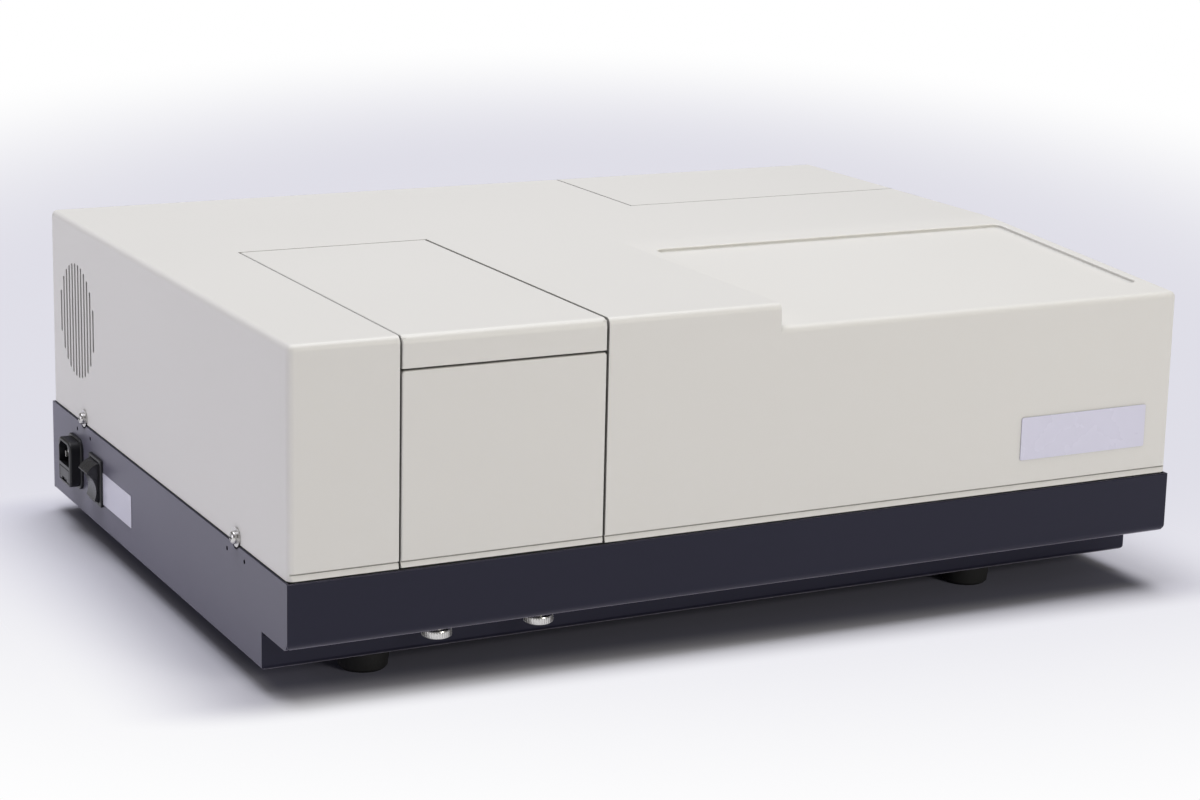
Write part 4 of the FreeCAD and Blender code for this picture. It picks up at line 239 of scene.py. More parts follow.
@dataclass(frozen=True)
class GrainFinish:
    """Paint, plastic or rubber with a fine grain and slight mottling.

    Where the shade reach isn't 0, the colour takes painted shade: walls nearer than the reach, in
    metres, darken it by the shade share.
    """

    name: str
    colour: Colour
    mottle_colour: Colour
    rough_low: float = 0.35
    rough_high: float = 0.45
    grain_scale: float = 900.0
    mottle_scale: float = 6.0
    mottle: float = 0.35
    bump: float = 0.15
    depth: float = 0.0002
    coat: float = 0.0
    coat_rough: float = 0.2
    painted_shade_reach: float = 0.0
    painted_shade_share: float = 0.7
    painted_shade_samples: int = 6
    specular: float = 0.5
    specular_tint: Colour = WHITE
    sheen: float = 0.0
    sheen_rough: float = 0.5
    sheen_tint: Colour = WHITE
    metallic: float = 0.0

    def build(self, effects: Effects) -> bpy.types.Material:
        """Makes the material.

        Args:
            effects: The shared node groups.

        Returns:
            The finished material.
        """
        material, shader = blank_material(self.name)
        tree = material.node_tree
        grain = tree.nodes.new("ShaderNodeGroup")
        grain.node_tree = effects.grain
        grain.inputs["Colour"].default_value = rgba(self.colour)
        grain.inputs["Mottle Colour"].default_value = rgba(self.mottle_colour)
        grain.inputs["Grain Scale"].default_value = self.grain_scale
        grain.inputs["Mottle Scale"].default_value = self.mottle_scale
        grain.inputs["Mottle"].default_value = self.mottle
        grain.inputs["Rough Low"].default_value = self.rough_low
        grain.inputs["Rough High"].default_value = self.rough_high
        colour = grain.outputs["Colour"]
        # painted shade: ambient occlusion darkens the colour in gaps and next to walls
        if self.painted_shade_reach:
            shade_occlusion = tree.nodes.new("ShaderNodeAmbientOcclusion")
            shade_occlusion.samples = self.painted_shade_samples
            shade_occlusion.inputs["Distance"].default_value = self.painted_shade_reach
            tree.links.new(colour, shade_occlusion.inputs["Color"])
            painted_shade_mix = tree.nodes.new("ShaderNodeMix")
            painted_shade_mix.data_type = "RGBA"
            painted_shade_mix.inputs["Factor"].default_value = self.painted_shade_share
            tree.links.new(colour, painted_shade_mix.inputs["A"])
            tree.links.new(shade_occlusion.outputs["Color"], painted_shade_mix.inputs["B"])
            colour = painted_shade_mix.outputs["Result"]
        tree.links.new(colour, shader.inputs["Base Color"])
        tree.links.new(grain.outputs["Roughness"], shader.inputs["Roughness"])
        shader.inputs["Metallic"].default_value = self.metallic
        shader.inputs["Specular IOR Level"].default_value = self.specular
        shader.inputs["Specular Tint"].default_value = rgba(self.specular_tint)
        shader.inputs["Sheen Weight"].default_value = self.sheen
        shader.inputs["Sheen Roughness"].default_value = self.sheen_rough
        shader.inputs["Sheen Tint"].default_value = rgba(self.sheen_tint)
        shader.inputs["Coat Weight"].default_value = self.coat
        shader.inputs["Coat Roughness"].default_value = self.coat_rough
        add_bump(material, grain.outputs["Height"], self.bump, self.depth)
        return material


@dataclass(frozen=True)
class MetalFinish:
    """Bare metal with drawn or turned lines."""

    name: str
    colour: Colour
    dull_colour: Colour
    stretch: tuple[float, float, float] = (60.0, 60.0, 1500.0)
    rough_low: float = 0.22
    rough_high: float = 0.42
    bump: float = 0.1
    depth: float = 0.0001

    def build(self, effects: Effects) -> bpy.types.Material:
        """Makes the material.

        Args:
            effects: The shared node groups.

        Returns:
            The finished material.
        """
        material, shader = blank_material(self.name)
        tree = material.node_tree
        lines = tree.nodes.new("ShaderNodeGroup")
        lines.node_tree = effects.brushed
        lines.inputs["Colour"].default_value = rgba(self.colour)
        lines.inputs["Dull Colour"].default_value = rgba(self.dull_colour)
        lines.inputs["Stretch"].default_value = self.stretch
        lines.inputs["Rough Low"].default_value = self.rough_low
        lines.inputs["Rough High"].default_value = self.rough_high
        tree.links.new(lines.outputs["Colour"], shader.inputs["Base Color"])
        tree.links.new(lines.outputs["Roughness"], shader.inputs["Roughness"])
        shader.inputs["Metallic"].default_value = 1.0
        add_bump(material, lines.outputs["Height"], self.bump, self.depth)
        return material


@dataclass(frozen=True)
class ClearFinish:
    """Clear glass or quartz with slight streaks."""

    name: str
    colour: Colour
    roughness: float = 0.04
    transmission: float = 0.9
    ior: float = 1.46
    streak: float = 0.94
    streak_scale: float = 60.0

    def build(self, effects: Effects) -> bpy.types.Material:
        """Makes the material.

        Args:
            effects: The shared node groups.

        Returns:
            The finished material.
        """
        material, shader = blank_material(self.name)
        tree = material.node_tree
        grain = tree.nodes.new("ShaderNodeGroup")
        grain.node_tree = effects.grain
        grain.inputs["Colour"].default_value = rgba(self.colour)
        streaked = tuple(self.streak * share for share in self.colour)
        grain.inputs["Mottle Colour"].default_value = rgba(streaked)
        grain.inputs["Mottle Scale"].default_value = self.streak_scale
        grain.inputs["Rough Low"].default_value = self.roughness
        grain.inputs["Rough High"].default_value = self.roughness * 2
        tree.links.new(grain.outputs["Colour"], shader.inputs["Base Color"])
        tree.links.new(grain.outputs["Roughness"], shader.inputs["Roughness"])
        shader.inputs["IOR"].default_value = self.ior
        shader.inputs["Transmission Weight"].default_value = self.transmission
        return material


@dataclass(frozen=True)
class BoardFinish:
    """Circuit board with copper tracks under green lacquer."""

    name: str
    lacquer: Colour
    track: Colour
    pitch: float = 220.0
    shade: float = 0.8
    track_width: float = 0.03
    rough_low: float = 0.25
    rough_high: float = 0.4
    bump: float = 0.4
    depth: float = 0.0001

    def build(self, effects: Effects) -> bpy.types.Material:
        """Makes the material.

        Args:
            effects: The shared node groups.

        Returns:
            The finished material.
        """
        material, shader = blank_material(self.name)
        tree = material.node_tree
        place = tree.nodes.new("ShaderNodeTexCoord")
        bricks = tree.nodes.new("ShaderNodeTexBrick")
        bricks.inputs["Color1"].default_value = rgba(self.lacquer)
        shaded = tuple(self.shade * share for share in self.lacquer)
        bricks.inputs["Color2"].default_value = rgba(shaded)
        bricks.inputs["Mortar"].default_value = rgba(self.track)
        bricks.inputs["Scale"].default_value = self.pitch
        bricks.inputs["Mortar Size"].default_value = self.track_width
        tree.links.new(place.outputs["Object"], bricks.inputs["Vector"])
        tree.links.new(bricks.outputs["Color"], shader.inputs["Base Color"])
        grain = tree.nodes.new("ShaderNodeGroup")
        grain.node_tree = effects.grain
        grain.inputs["Rough Low"].default_value = self.rough_low
        grain.inputs["Rough High"].default_value = self.rough_high
        tree.links.new(grain.outputs["Roughness"], shader.inputs["Roughness"])
        add_bump(material, bricks.outputs["Fac"], self.bump, self.depth)
        return material


@dataclass(frozen=True)
class RuledFinish:
    """Diffraction grating: a mirror ruled with close grooves, with their split light painted as fixed
    rainbow bands in its colour.
    """

    name: str
    pitch: float = 4000.0
    along: float = 20.0
    band_scale: float = 12.0
    distortion: float = 1.5
    rough_low: float = 0.12
    rough_high: float = 0.25
    bump: float = 0.2
    depth: float = 0.00005
    # painted light: rainbow stops that stand for light split by the grooves
    painted_spectrum: tuple[tuple[float, Colour], ...] = (
        (0.0, (0.80, 0.62, 0.86)), (0.25, (0.60, 0.72, 0.92)), (0.5, (0.62, 0.88, 0.72)),
        (0.75, (0.92, 0.86, 0.58)), (1.0, (0.92, 0.66, 0.60)))

    def build(self, effects: Effects) -> bpy.types.Material:
        """Makes the material.

        Args:
            effects: The shared node groups.

        Returns:
            The finished material.
        """
        material, shader = blank_material(self.name)
        tree = material.node_tree
        place = tree.nodes.new("ShaderNodeTexCoord")
        bands = tree.nodes.new("ShaderNodeTexWave")
        bands.bands_direction = "DIAGONAL"
        bands.inputs["Scale"].default_value = self.band_scale
        bands.inputs["Distortion"].default_value = self.distortion
        tree.links.new(place.outputs["Object"], bands.inputs["Vector"])
        # painted light: the grooves' rainbow is fixed in the base colour, not split from the lamps
        spectrum_ramp = tree.nodes.new("ShaderNodeValToRGB")
        for position, _ in self.painted_spectrum[1:-1]:
            spectrum_ramp.color_ramp.elements.new(position)
        for element, (position, colour) in zip(spectrum_ramp.color_ramp.elements, self.painted_spectrum):
            element.position = position
            element.color = rgba(colour)
        tree.links.new(bands.outputs["Fac"], spectrum_ramp.inputs["Fac"])
        tree.links.new(spectrum_ramp.outputs["Color"], shader.inputs["Base Color"])
        shader.inputs["Metallic"].default_value = 1.0
        lines = tree.nodes.new("ShaderNodeGroup")
        lines.node_tree = effects.brushed
        lines.inputs["Stretch"].default_value = (self.pitch, self.pitch, self.along)
        lines.inputs["Rough Low"].default_value = self.rough_low
        lines.inputs["Rough High"].default_value = self.rough_high
        tree.links.new(lines.outputs["Roughness"], shader.inputs["Roughness"])
        add_bump(material, lines.outputs["Height"], self.bump, self.depth)
        return material


class Palette:
    """Every finish of the instrument, built once and given out by name."""

    finishes = (
        # cover_paint takes painted shade in its gaps: ambient occlusion in its colour
        GrainFinish("cover_paint", (0.805, 0.790, 0.742), (0.785, 0.768, 0.720), 0.36, 0.46,
                    grain_scale=1400.0, mottle_scale=5.0, mottle=0.5, bump=0.10, depth=0.00012,
                    painted_shade_reach=0.005, specular=0.4),
        GrainFinish("base_paint", (0.0060, 0.0063, 0.0150), (0.0095, 0.0098, 0.0215), 0.26, 0.36,
                    grain_scale=1800.0, mottle_scale=8.0, mottle=0.5, bump=0.20, depth=0.00012,
                    specular=0.30, specular_tint=(0.80, 0.78, 1.0), sheen=0.6, sheen_rough=0.4,
                    sheen_tint=(0.84, 0.80, 1.0)),
        GrainFinish("foot_rubber", (0.006, 0.006, 0.007), (0.014, 0.014, 0.014), 0.65, 0.85,
                    grain_scale=1200.0, mottle_scale=40.0, mottle=0.6, bump=0.3),
        GrainFinish("inlet_plastic", (0.010, 0.010, 0.012), (0.018, 0.018, 0.021), 0.28, 0.42,
                    grain_scale=2200.0, mottle_scale=60.0, mottle=0.5, bump=0.18),
        GrainFinish("paddle_plastic", (0.016, 0.016, 0.019), (0.030, 0.030, 0.034), 0.22, 0.34,
                    grain_scale=2600.0, mottle_scale=80.0, mottle=0.4, bump=0.08),
        GrainFinish("fan_plastic", (0.018, 0.018, 0.020), (0.032, 0.032, 0.034), 0.40, 0.55,
                    grain_scale=1600.0, mottle_scale=50.0, mottle=0.5, bump=0.2),
        GrainFinish("bench_black", (0.016, 0.016, 0.018), (0.028, 0.028, 0.030), 0.50, 0.70,
                    grain_scale=700.0, mottle_scale=30.0, mottle=0.6, bump=0.4, depth=0.0003),
        GrainFinish("light_trap_black", (0.010, 0.010, 0.011), (0.018, 0.018, 0.019), 0.60, 0.78,
                    grain_scale=1500.0, mottle_scale=25.0, mottle=0.5, bump=0.3),
        GrainFinish("seal_foam", (0.020, 0.020, 0.021), (0.040, 0.040, 0.040), 0.85, 0.95,
                    grain_scale=500.0, mottle_scale=120.0, mottle=0.8, bump=0.9, depth=0.0006),
        GrainFinish("plate_film", (0.735, 0.725, 0.850), (0.760, 0.748, 0.868), 0.22, 0.32,
                    grain_scale=2600.0, mottle_scale=20.0, mottle=0.5, bump=0.05, coat=0.3),
        GrainFinish("label_film", (0.700, 0.690, 0.775), (0.660, 0.650, 0.735), 0.30, 0.42,
                    grain_scale=2000.0, mottle_scale=40.0, mottle=0.5, bump=0.08, coat=0.2),
        GrainFinish("cast_case", (0.300, 0.305, 0.310), (0.240, 0.244, 0.250), 0.38, 0.55,
                    grain_scale=900.0, mottle_scale=30.0, mottle=0.6, bump=0.3, metallic=0.6),
        MetalFinish("screw_steel", (0.72, 0.71, 0.70), (0.52, 0.51, 0.50), (900.0, 900.0, 900.0),
                    0.16, 0.36),
        MetalFinish("turned_aluminium", (0.80, 0.80, 0.80), (0.62, 0.62, 0.63), (40.0, 40.0, 2600.0),
                    0.24, 0.42),
        MetalFinish("contact_metal", (0.94, 0.93, 0.90), (0.82, 0.80, 0.76), (1200.0, 300.0, 300.0),
                    0.30, 0.48),
        MetalFinish("mirror_coating", (0.90, 0.91, 0.92), (0.84, 0.86, 0.88), (30.0, 30.0, 30.0),
                    0.03, 0.07, bump=0.02),
        ClearFinish("quartz", (0.93, 0.96, 0.98)),
        ClearFinish("fuse_glass", (0.90, 0.93, 0.92), roughness=0.08),
        BoardFinish("board_lacquer", (0.020, 0.130, 0.055), (0.075, 0.240, 0.110)),
        RuledFinish("ruled_grating"),
    )

    def __init__(self) -> None:
        """Builds the shared effects, then every material."""
        effects = Effects()
        self._materials = {finish.name: finish.build(effects) for finish in self.finishes}

    def __getitem__(self, name: str) -> bpy.types.Material:
        """Returns the material of that name."""
        return self._materials[name]


# Modelling by hand

UP = 2  # index of the upright axis
PARALLEL = 0.99  # least share of an edge's length that lies along an axis parallel to it
FACING = 0.9  # least part of a normal along the axis that its face looks along
SIDEWAYS = 0.1  # most part of a normal along an axis that its face looks away from

def only(obj: bpy.types.Object) -> bpy.types.Object:
    """Selects one object alone and makes it active.

    Args:
        obj: The object to select.

    Returns:
        The same object.
    """
    for other in bpy.context.selected_objects:
        other.select_set(False)
    obj.select_set(True)
    bpy.context.view_layer.objects.active = obj
    return obj


def clear_selection() -> None:
    """Deselects every object, before a primitive is added."""
    for other in bpy.context.selected_objects:
        other.select_set(False)
    bpy.context.view_layer.objects.active = None


def pick(obj: bpy.types.Object, mode: str, wanted: Callable[[object], bool]) -> None:
    """Enters edit mode and selects the edges or faces that are wanted.

    Args:
        obj: The object to edit, left in edit mode.
        mode: EDGE or FACE.
        wanted: Test of one bmesh edge or face.
    """
    only(obj)
    bpy.ops.object.mode_set(mode="EDIT")
    bpy.ops.mesh.select_mode(type=mode)
    bpy.ops.mesh.select_all(action="DESELECT")
    mesh = bmesh.from_edit_mesh(obj.data)
    for item in (mesh.edges if mode == "EDGE" else mesh.faces):
        if wanted(item):
            item.select_set(True)
    mesh.select_flush_mode()
    bmesh.update_edit_mesh(obj.data)


def leave_edit() -> None:
    """Goes back to object mode."""
    bpy.ops.object.mode_set(mode="OBJECT")


def slab(name: str, low: Vector, high: Vector) -> bpy.types.Object:
    """Adds a block between two corners, with its place in its mesh.

    Args:
        name: The piece's name.
        low: Lowest corner.
        high: Highest corner.

    Returns:
        The block.
    """
    clear_selection()
    bpy.ops.mesh.primitive_cube_add(size=1.0, location=(low + high) / 2)
    obj = bpy.context.active_object
    obj.name = name
    obj.scale = high - low
    bpy.ops.object.transform_apply(location=True, rotation=True, scale=True)
    return obj


def drum(name: str, radius: float, centre: Vector, depth: float, sides: int,
         turn: tuple[float, float, float] = (0.0, 0.0, 0.0)) -> bpy.types.Object:
    """Adds a cylinder with its place in its mesh.

    Args:
        name: The piece's name.
        radius: Radius in metres.
        centre: Middle of the cylinder.
        depth: Length along its axis.
        sides: Number of side faces.
        turn: Rotation that points its axis.

    Returns:
        The cylinder.
    """
    clear_selection()
    bpy.ops.mesh.primitive_cylinder_add(
        vertices=sides, radius=radius, depth=depth, location=centre, rotation=turn)
    obj = bpy.context.active_object
    obj.name = name
    bpy.ops.object.transform_apply(location=True, rotation=True, scale=True)
    return obj


def bevel(obj: bpy.types.Object, width: float, segments: int,
          wanted: Callable[[bmesh.types.BMEdge], bool]) -> None:
    """Bevels the wanted edges.

    Args:
        obj: The piece to change.
        width: Width of the bevel in metres.
        segments: Steps across the bevel.
        wanted: Test of one edge.
    """
    pick(obj, "EDGE", wanted)
    bpy.ops.mesh.bevel(offset=width, segments=segments, profile=0.5)
    leave_edit()


def join(pieces: Sequence[bpy.types.Object], name: str) -> bpy.types.Object:
    """Joins several pieces into the first one.

    Args:
        pieces: The pieces to join.
        name: Name of the joined piece.

    Returns:
        The joined piece.
    """
    only(pieces[0])
    for piece in pieces[1:]:
        piece.select_set(True)
    bpy.ops.object.join()
    pieces[0].name = name
    return pieces[0]


def cut_with(obj: bpy.types.Object, cutter: bpy.types.Object) -> None:
    """Cuts one piece with another, which is then removed.

    Args:
        obj: The piece to cut.
        cutter: The piece that cuts.
    """
    only(obj)
    modifier = obj.modifiers.new("cut", "BOOLEAN")
    modifier.operation = "DIFFERENCE"
    modifier.solver = "EXACT"
    modifier.object = cutter
    bpy.ops.object.modifier_apply(modifier=modifier.name)
    bpy.data.objects.remove(cutter, do_unlink=True)


def edge_along(edge: bmesh.types.BMEdge, axis: int) -> bool:
    """True for an edge parallel to one axis."""
    span = edge.verts[1].co - edge.verts[0].co
    return abs(span[axis]) > PARALLEL * span.length


@dataclass
class Piece:
    """A new piece with what it is made of and what carries it."""

    obj: bpy.types.Object
    material: bpy.types.Material
    slot: str
    body: Body
    stands_for: tuple[str, ...] = ()
    smooth: float = 35.0

    def settle(self) -> None:
        """Shades, dresses and mounts the piece, and reports it."""
        only(self.obj)
        bpy.ops.object.shade_smooth_by_angle(angle=math.radians(self.smooth))
        self.obj.data.materials.clear()
        self.obj.data.materials.append(self.material)
        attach(self.obj, self.body.value)
        if self.stands_for:
            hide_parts(*self.stands_for)
        LOG.info("%s: %d faces", self.obj.name, len(self.obj.data.polygons))


# The instrument's own parts

@dataclass
class BarePlate:
    """Thin plate with round corners and a rim ring inset level with its face, left without words."""

    name: str
    side: Side
    low: Vector
    high: Vector
    corner: float
    rim: float
    finish: str
    slot: str

    def build(self, palette: Palette) -> None:
        """Models the plate and mounts it on the instrument.

        Args:
            palette: The finishes.
        """
        axis = self.side.value
        obj = slab(self.name, self.low, self.high)
        bevel(obj, self.corner, segments=6, wanted=lambda edge: edge_along(edge, axis))
        pick(obj, "FACE", lambda face: face.normal[axis] < -FACING)
        bpy.ops.mesh.inset(thickness=self.rim, depth=0.0)
        leave_edit()
        Piece(obj, palette[self.finish], self.slot, Body.INSTRUMENT).settle()


@dataclass
class ThumbScrew:
    """Turned screw with a knurled disc, a shoulder above it, a shank and a collar."""

    body: Body
    node: str
    teeth: int = 36
    tooth: float = 0.00035
    chamfer: float = 0.0007
    disc: float = 4.8 * MM
    shoulder: float = 4.2 * MM
    shoulder_radius: float = 4.5 * MM
    shank_radius: float = 2.5 * MM
    shank_short: float = 1.0 * MM
    collar_radius: float = 5.0 * MM
    collar_height: float = 3.5 * MM
    collar_drop: float = 2.5 * MM
    rim: float = 0.4 * MM

    def build(self, palette: Palette) -> None:
        """Models the screw over the node's own sizes.

        Args:
            palette: The finishes.
        """
        low, high = (Vector(corner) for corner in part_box(self.node))
        middle = (low + high) / 2
        radius = (high.x - low.x) / 2
        head = self.disc + self.shoulder
        knob = drum(self.node + "_head", radius - self.tooth,
                    Vector((middle.x, middle.y, low.z + self.disc / 2)), self.disc, self.teeth * 2)
        bevel(knob, self.chamfer, segments=2, wanted=self._round_edge)
        pick(knob, "FACE", lambda face: abs(face.normal.z) < SIDEWAYS and self._odd(face, middle))
        bpy.ops.mesh.extrude_faces_move(
            TRANSFORM_OT_shrink_fatten={"value": self.tooth, "use_even_offset": False})
        leave_edit()
        neck = drum(self.node + "_shoulder", self.shoulder_radius,
                    Vector((middle.x, middle.y, low.z + self.disc + self.shoulder / 2)),
                    self.shoulder, sides=40)
        bevel(neck, self.rim, segments=2, wanted=self._round_edge)
        shank = drum(self.node + "_shank", self.shank_radius,
                     Vector((middle.x, middle.y,
                             (low.z + head + high.z) / 2 - self.shank_short / 2)),
                     high.z - low.z - head - self.shank_short, sides=32)
        collar = drum(self.node + "_collar", self.collar_radius,
                      Vector((middle.x, middle.y, high.z - self.collar_drop)),
                      self.collar_height, sides=40)
        bevel(collar, self.rim, segments=2, wanted=self._round_edge)
        screw = join([knob, neck, shank, collar], self.node + "_turned")
        Piece(screw, palette["screw_steel"], "screw_steel", self.body,
              stands_for=(self.node,), smooth=25.0).settle()

    @staticmethod
    def _round_edge(edge: bmesh.types.BMEdge) -> bool:
        """True for an edge round the end of an upright cylinder."""
        return not edge_along(edge, UP)

    def _odd(self, face: bmesh.types.BMFace, middle: Vector) -> bool:
        """True for every second side face round the head."""
        spot = face.calc_center_median() - middle
        turn = math.atan2(spot.y, spot.x) / (2 * math.pi) * self.teeth * 2
        return int(math.floor(turn)) % 2 == 0


@dataclass
class CoverScrews:
    """Four pan-head screws with a cross recess, each seated on its washer."""

    places: tuple[tuple[float, float], ...] = (
        (-1.0, -143.5), (-1.0, 153.5), (1.0, -143.5), (1.0, 153.5))
    wall: float = 300.0 * MM
    height: float = 81.0 * MM
    head_radius: float = 3.8 * MM
    head: float = 3.0 * MM
    washer: float = 1.0 * MM
    shank_radius: float = 2.0 * MM
    length: float = 14.0 * MM
    dome: float = 0.6
    recess_length: float = 4.2 * MM
    recess_width: float = 0.9 * MM
    recess_depth: float = 1.5 * MM
    seat_margin: float = 0.5 * MM

    def build(self, palette: Palette) -> None:
        """Models one screw, then the others at their places.

        Args:
            palette: The finishes.
        """
        screws = [self._screw(index, side, y * MM) for index, (side, y) in enumerate(self.places)]
        Piece(join(screws, "cover_screw_heads"), palette["screw_steel"], "screw_steel",
              Body.INSTRUMENT, stands_for=("cover_screws",), smooth=30.0).settle()

    def _screw(self, index: int, side: float, y: float) -> bpy.types.Object:
        """Models one screw.

        Args:
            index: Number of the screw.
            side: -1 at the left wall and 1 at the right.
            y: Depth of the screw.

        Returns:
            The screw.
        """
        turn = (0.0, math.radians(90.0), 0.0)
        face = self.wall + self.washer
        head = drum(f"screw_{index}", self.head_radius,
                    Vector((side * (face + self.head / 2), y, self.height)), self.head,
                    sides=32, turn=turn)
        bevel(head, self.head * self.dome, segments=5,
              wanted=lambda edge: self._outer_rim(edge, side, face))
        middle = side * (face + self.head)
        arm = (self.recess_length, self.recess_width)
        for tall, wide in (arm, arm[::-1]):
            half = Vector((self.recess_depth, wide / 2, tall / 2))
            centre = Vector((middle, y, self.height))
            cut_with(head, slab("recess", centre - half, centre + half))
        shank = drum(f"shank_{index}", self.shank_radius,
                     Vector((side * (face - self.length / 2 - self.washer / 2), y, self.height)),
                     self.length + self.washer, sides=24, turn=turn)
        return join([head, shank], f"screw_{index}")

    def _outer_rim(self, edge: bmesh.types.BMEdge, side: float, face: float) -> bool:
        """True for the rim of the head away from the wall."""
        return all(vert.co.x * side > face + self.seat_margin for vert in edge.verts)


def dress_nodes(palette: Palette) -> None:
    """Gives every CAD node its finish.

    Args:
        palette: The finishes.
    """
    finishes: dict[str, Iterable[str]] = {
        "cover_paint": ("top_cover", "lamp_cover", "compartment_lid", "compartment_front_panel"),
        "base_paint": ("base_pan", "front_skirt", "back_panel"),
        "foot_rubber": ("rubber_feet",),
        "inlet_plastic": ("power_inlet", "fuse_drawer", "switch_frame"),
        "paddle_plastic": ("switch_rocker",),
        "fan_plastic": ("fan_frame", "fan_rotor"),
        "bench_black": ("optical_bench",),
        "light_trap_black": ("compartment_liner", "cell_rail", "sample_cell_holder",
                             "reference_cell_holder", "monochromator_housing",
                             "monochromator_cover", "entrance_slit", "exit_slit", "filter_wheel",
                             "sample_detector", "reference_detector"),
        "seal_foam": ("lid_seal",),
        "cast_case": ("power_supply_and_transformer", "source_mirror_motor", "filter_wheel_motor",
                      "chopper_motor", "grating_motor", "mirror_mounts"),
        "screw_steel": ("foot_screws", "cover_screws", "cover_washers", "lid_hinge_pins",
                        "board_standoffs", "data_port", "data_port_screws", "fan_bracket",
                        "left_thumb_screw", "right_thumb_screw"),
        "turned_aluminium": ("bench_pillars", "lamp_house"),
        "contact_metal": ("inlet_blades",),
        "mirror_coating": ("collimating_mirror", "focusing_mirror", "folding_mirror",
                           "sample_beam_mirror", "source_mirror", "chopper_disc"),
        "quartz": ("beam_windows", "deuterium_lamp", "tungsten_lamp", "detector_lenses"),
        "fuse_glass": ("fuse",),
        "board_lacquer": ("main_board", "amplifier_board"),
        "ruled_grating": ("diffraction_grating",),
    }
    dressed = set()
    for name, nodes in finishes.items():
        for node in nodes:
            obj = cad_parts[node]
            obj.data.materials.clear()
            obj.data.materials.append(palette[name])
            dressed.add(node)
    left = set(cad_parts) - dressed
    if left:
        raise ValueError(f"nodes without a finish: {sorted(left)}")
    LOG.info("%d nodes dressed", len(dressed))


# Studio

@dataclass(frozen=True)
class SoftBox:
    """A square soft light: its place and target, side in metres, watts and colour."""

    name: str
    place: tuple[float, float, float]
    target: tuple[float, float, float]
    size: float
    power: float
    colour: Colour


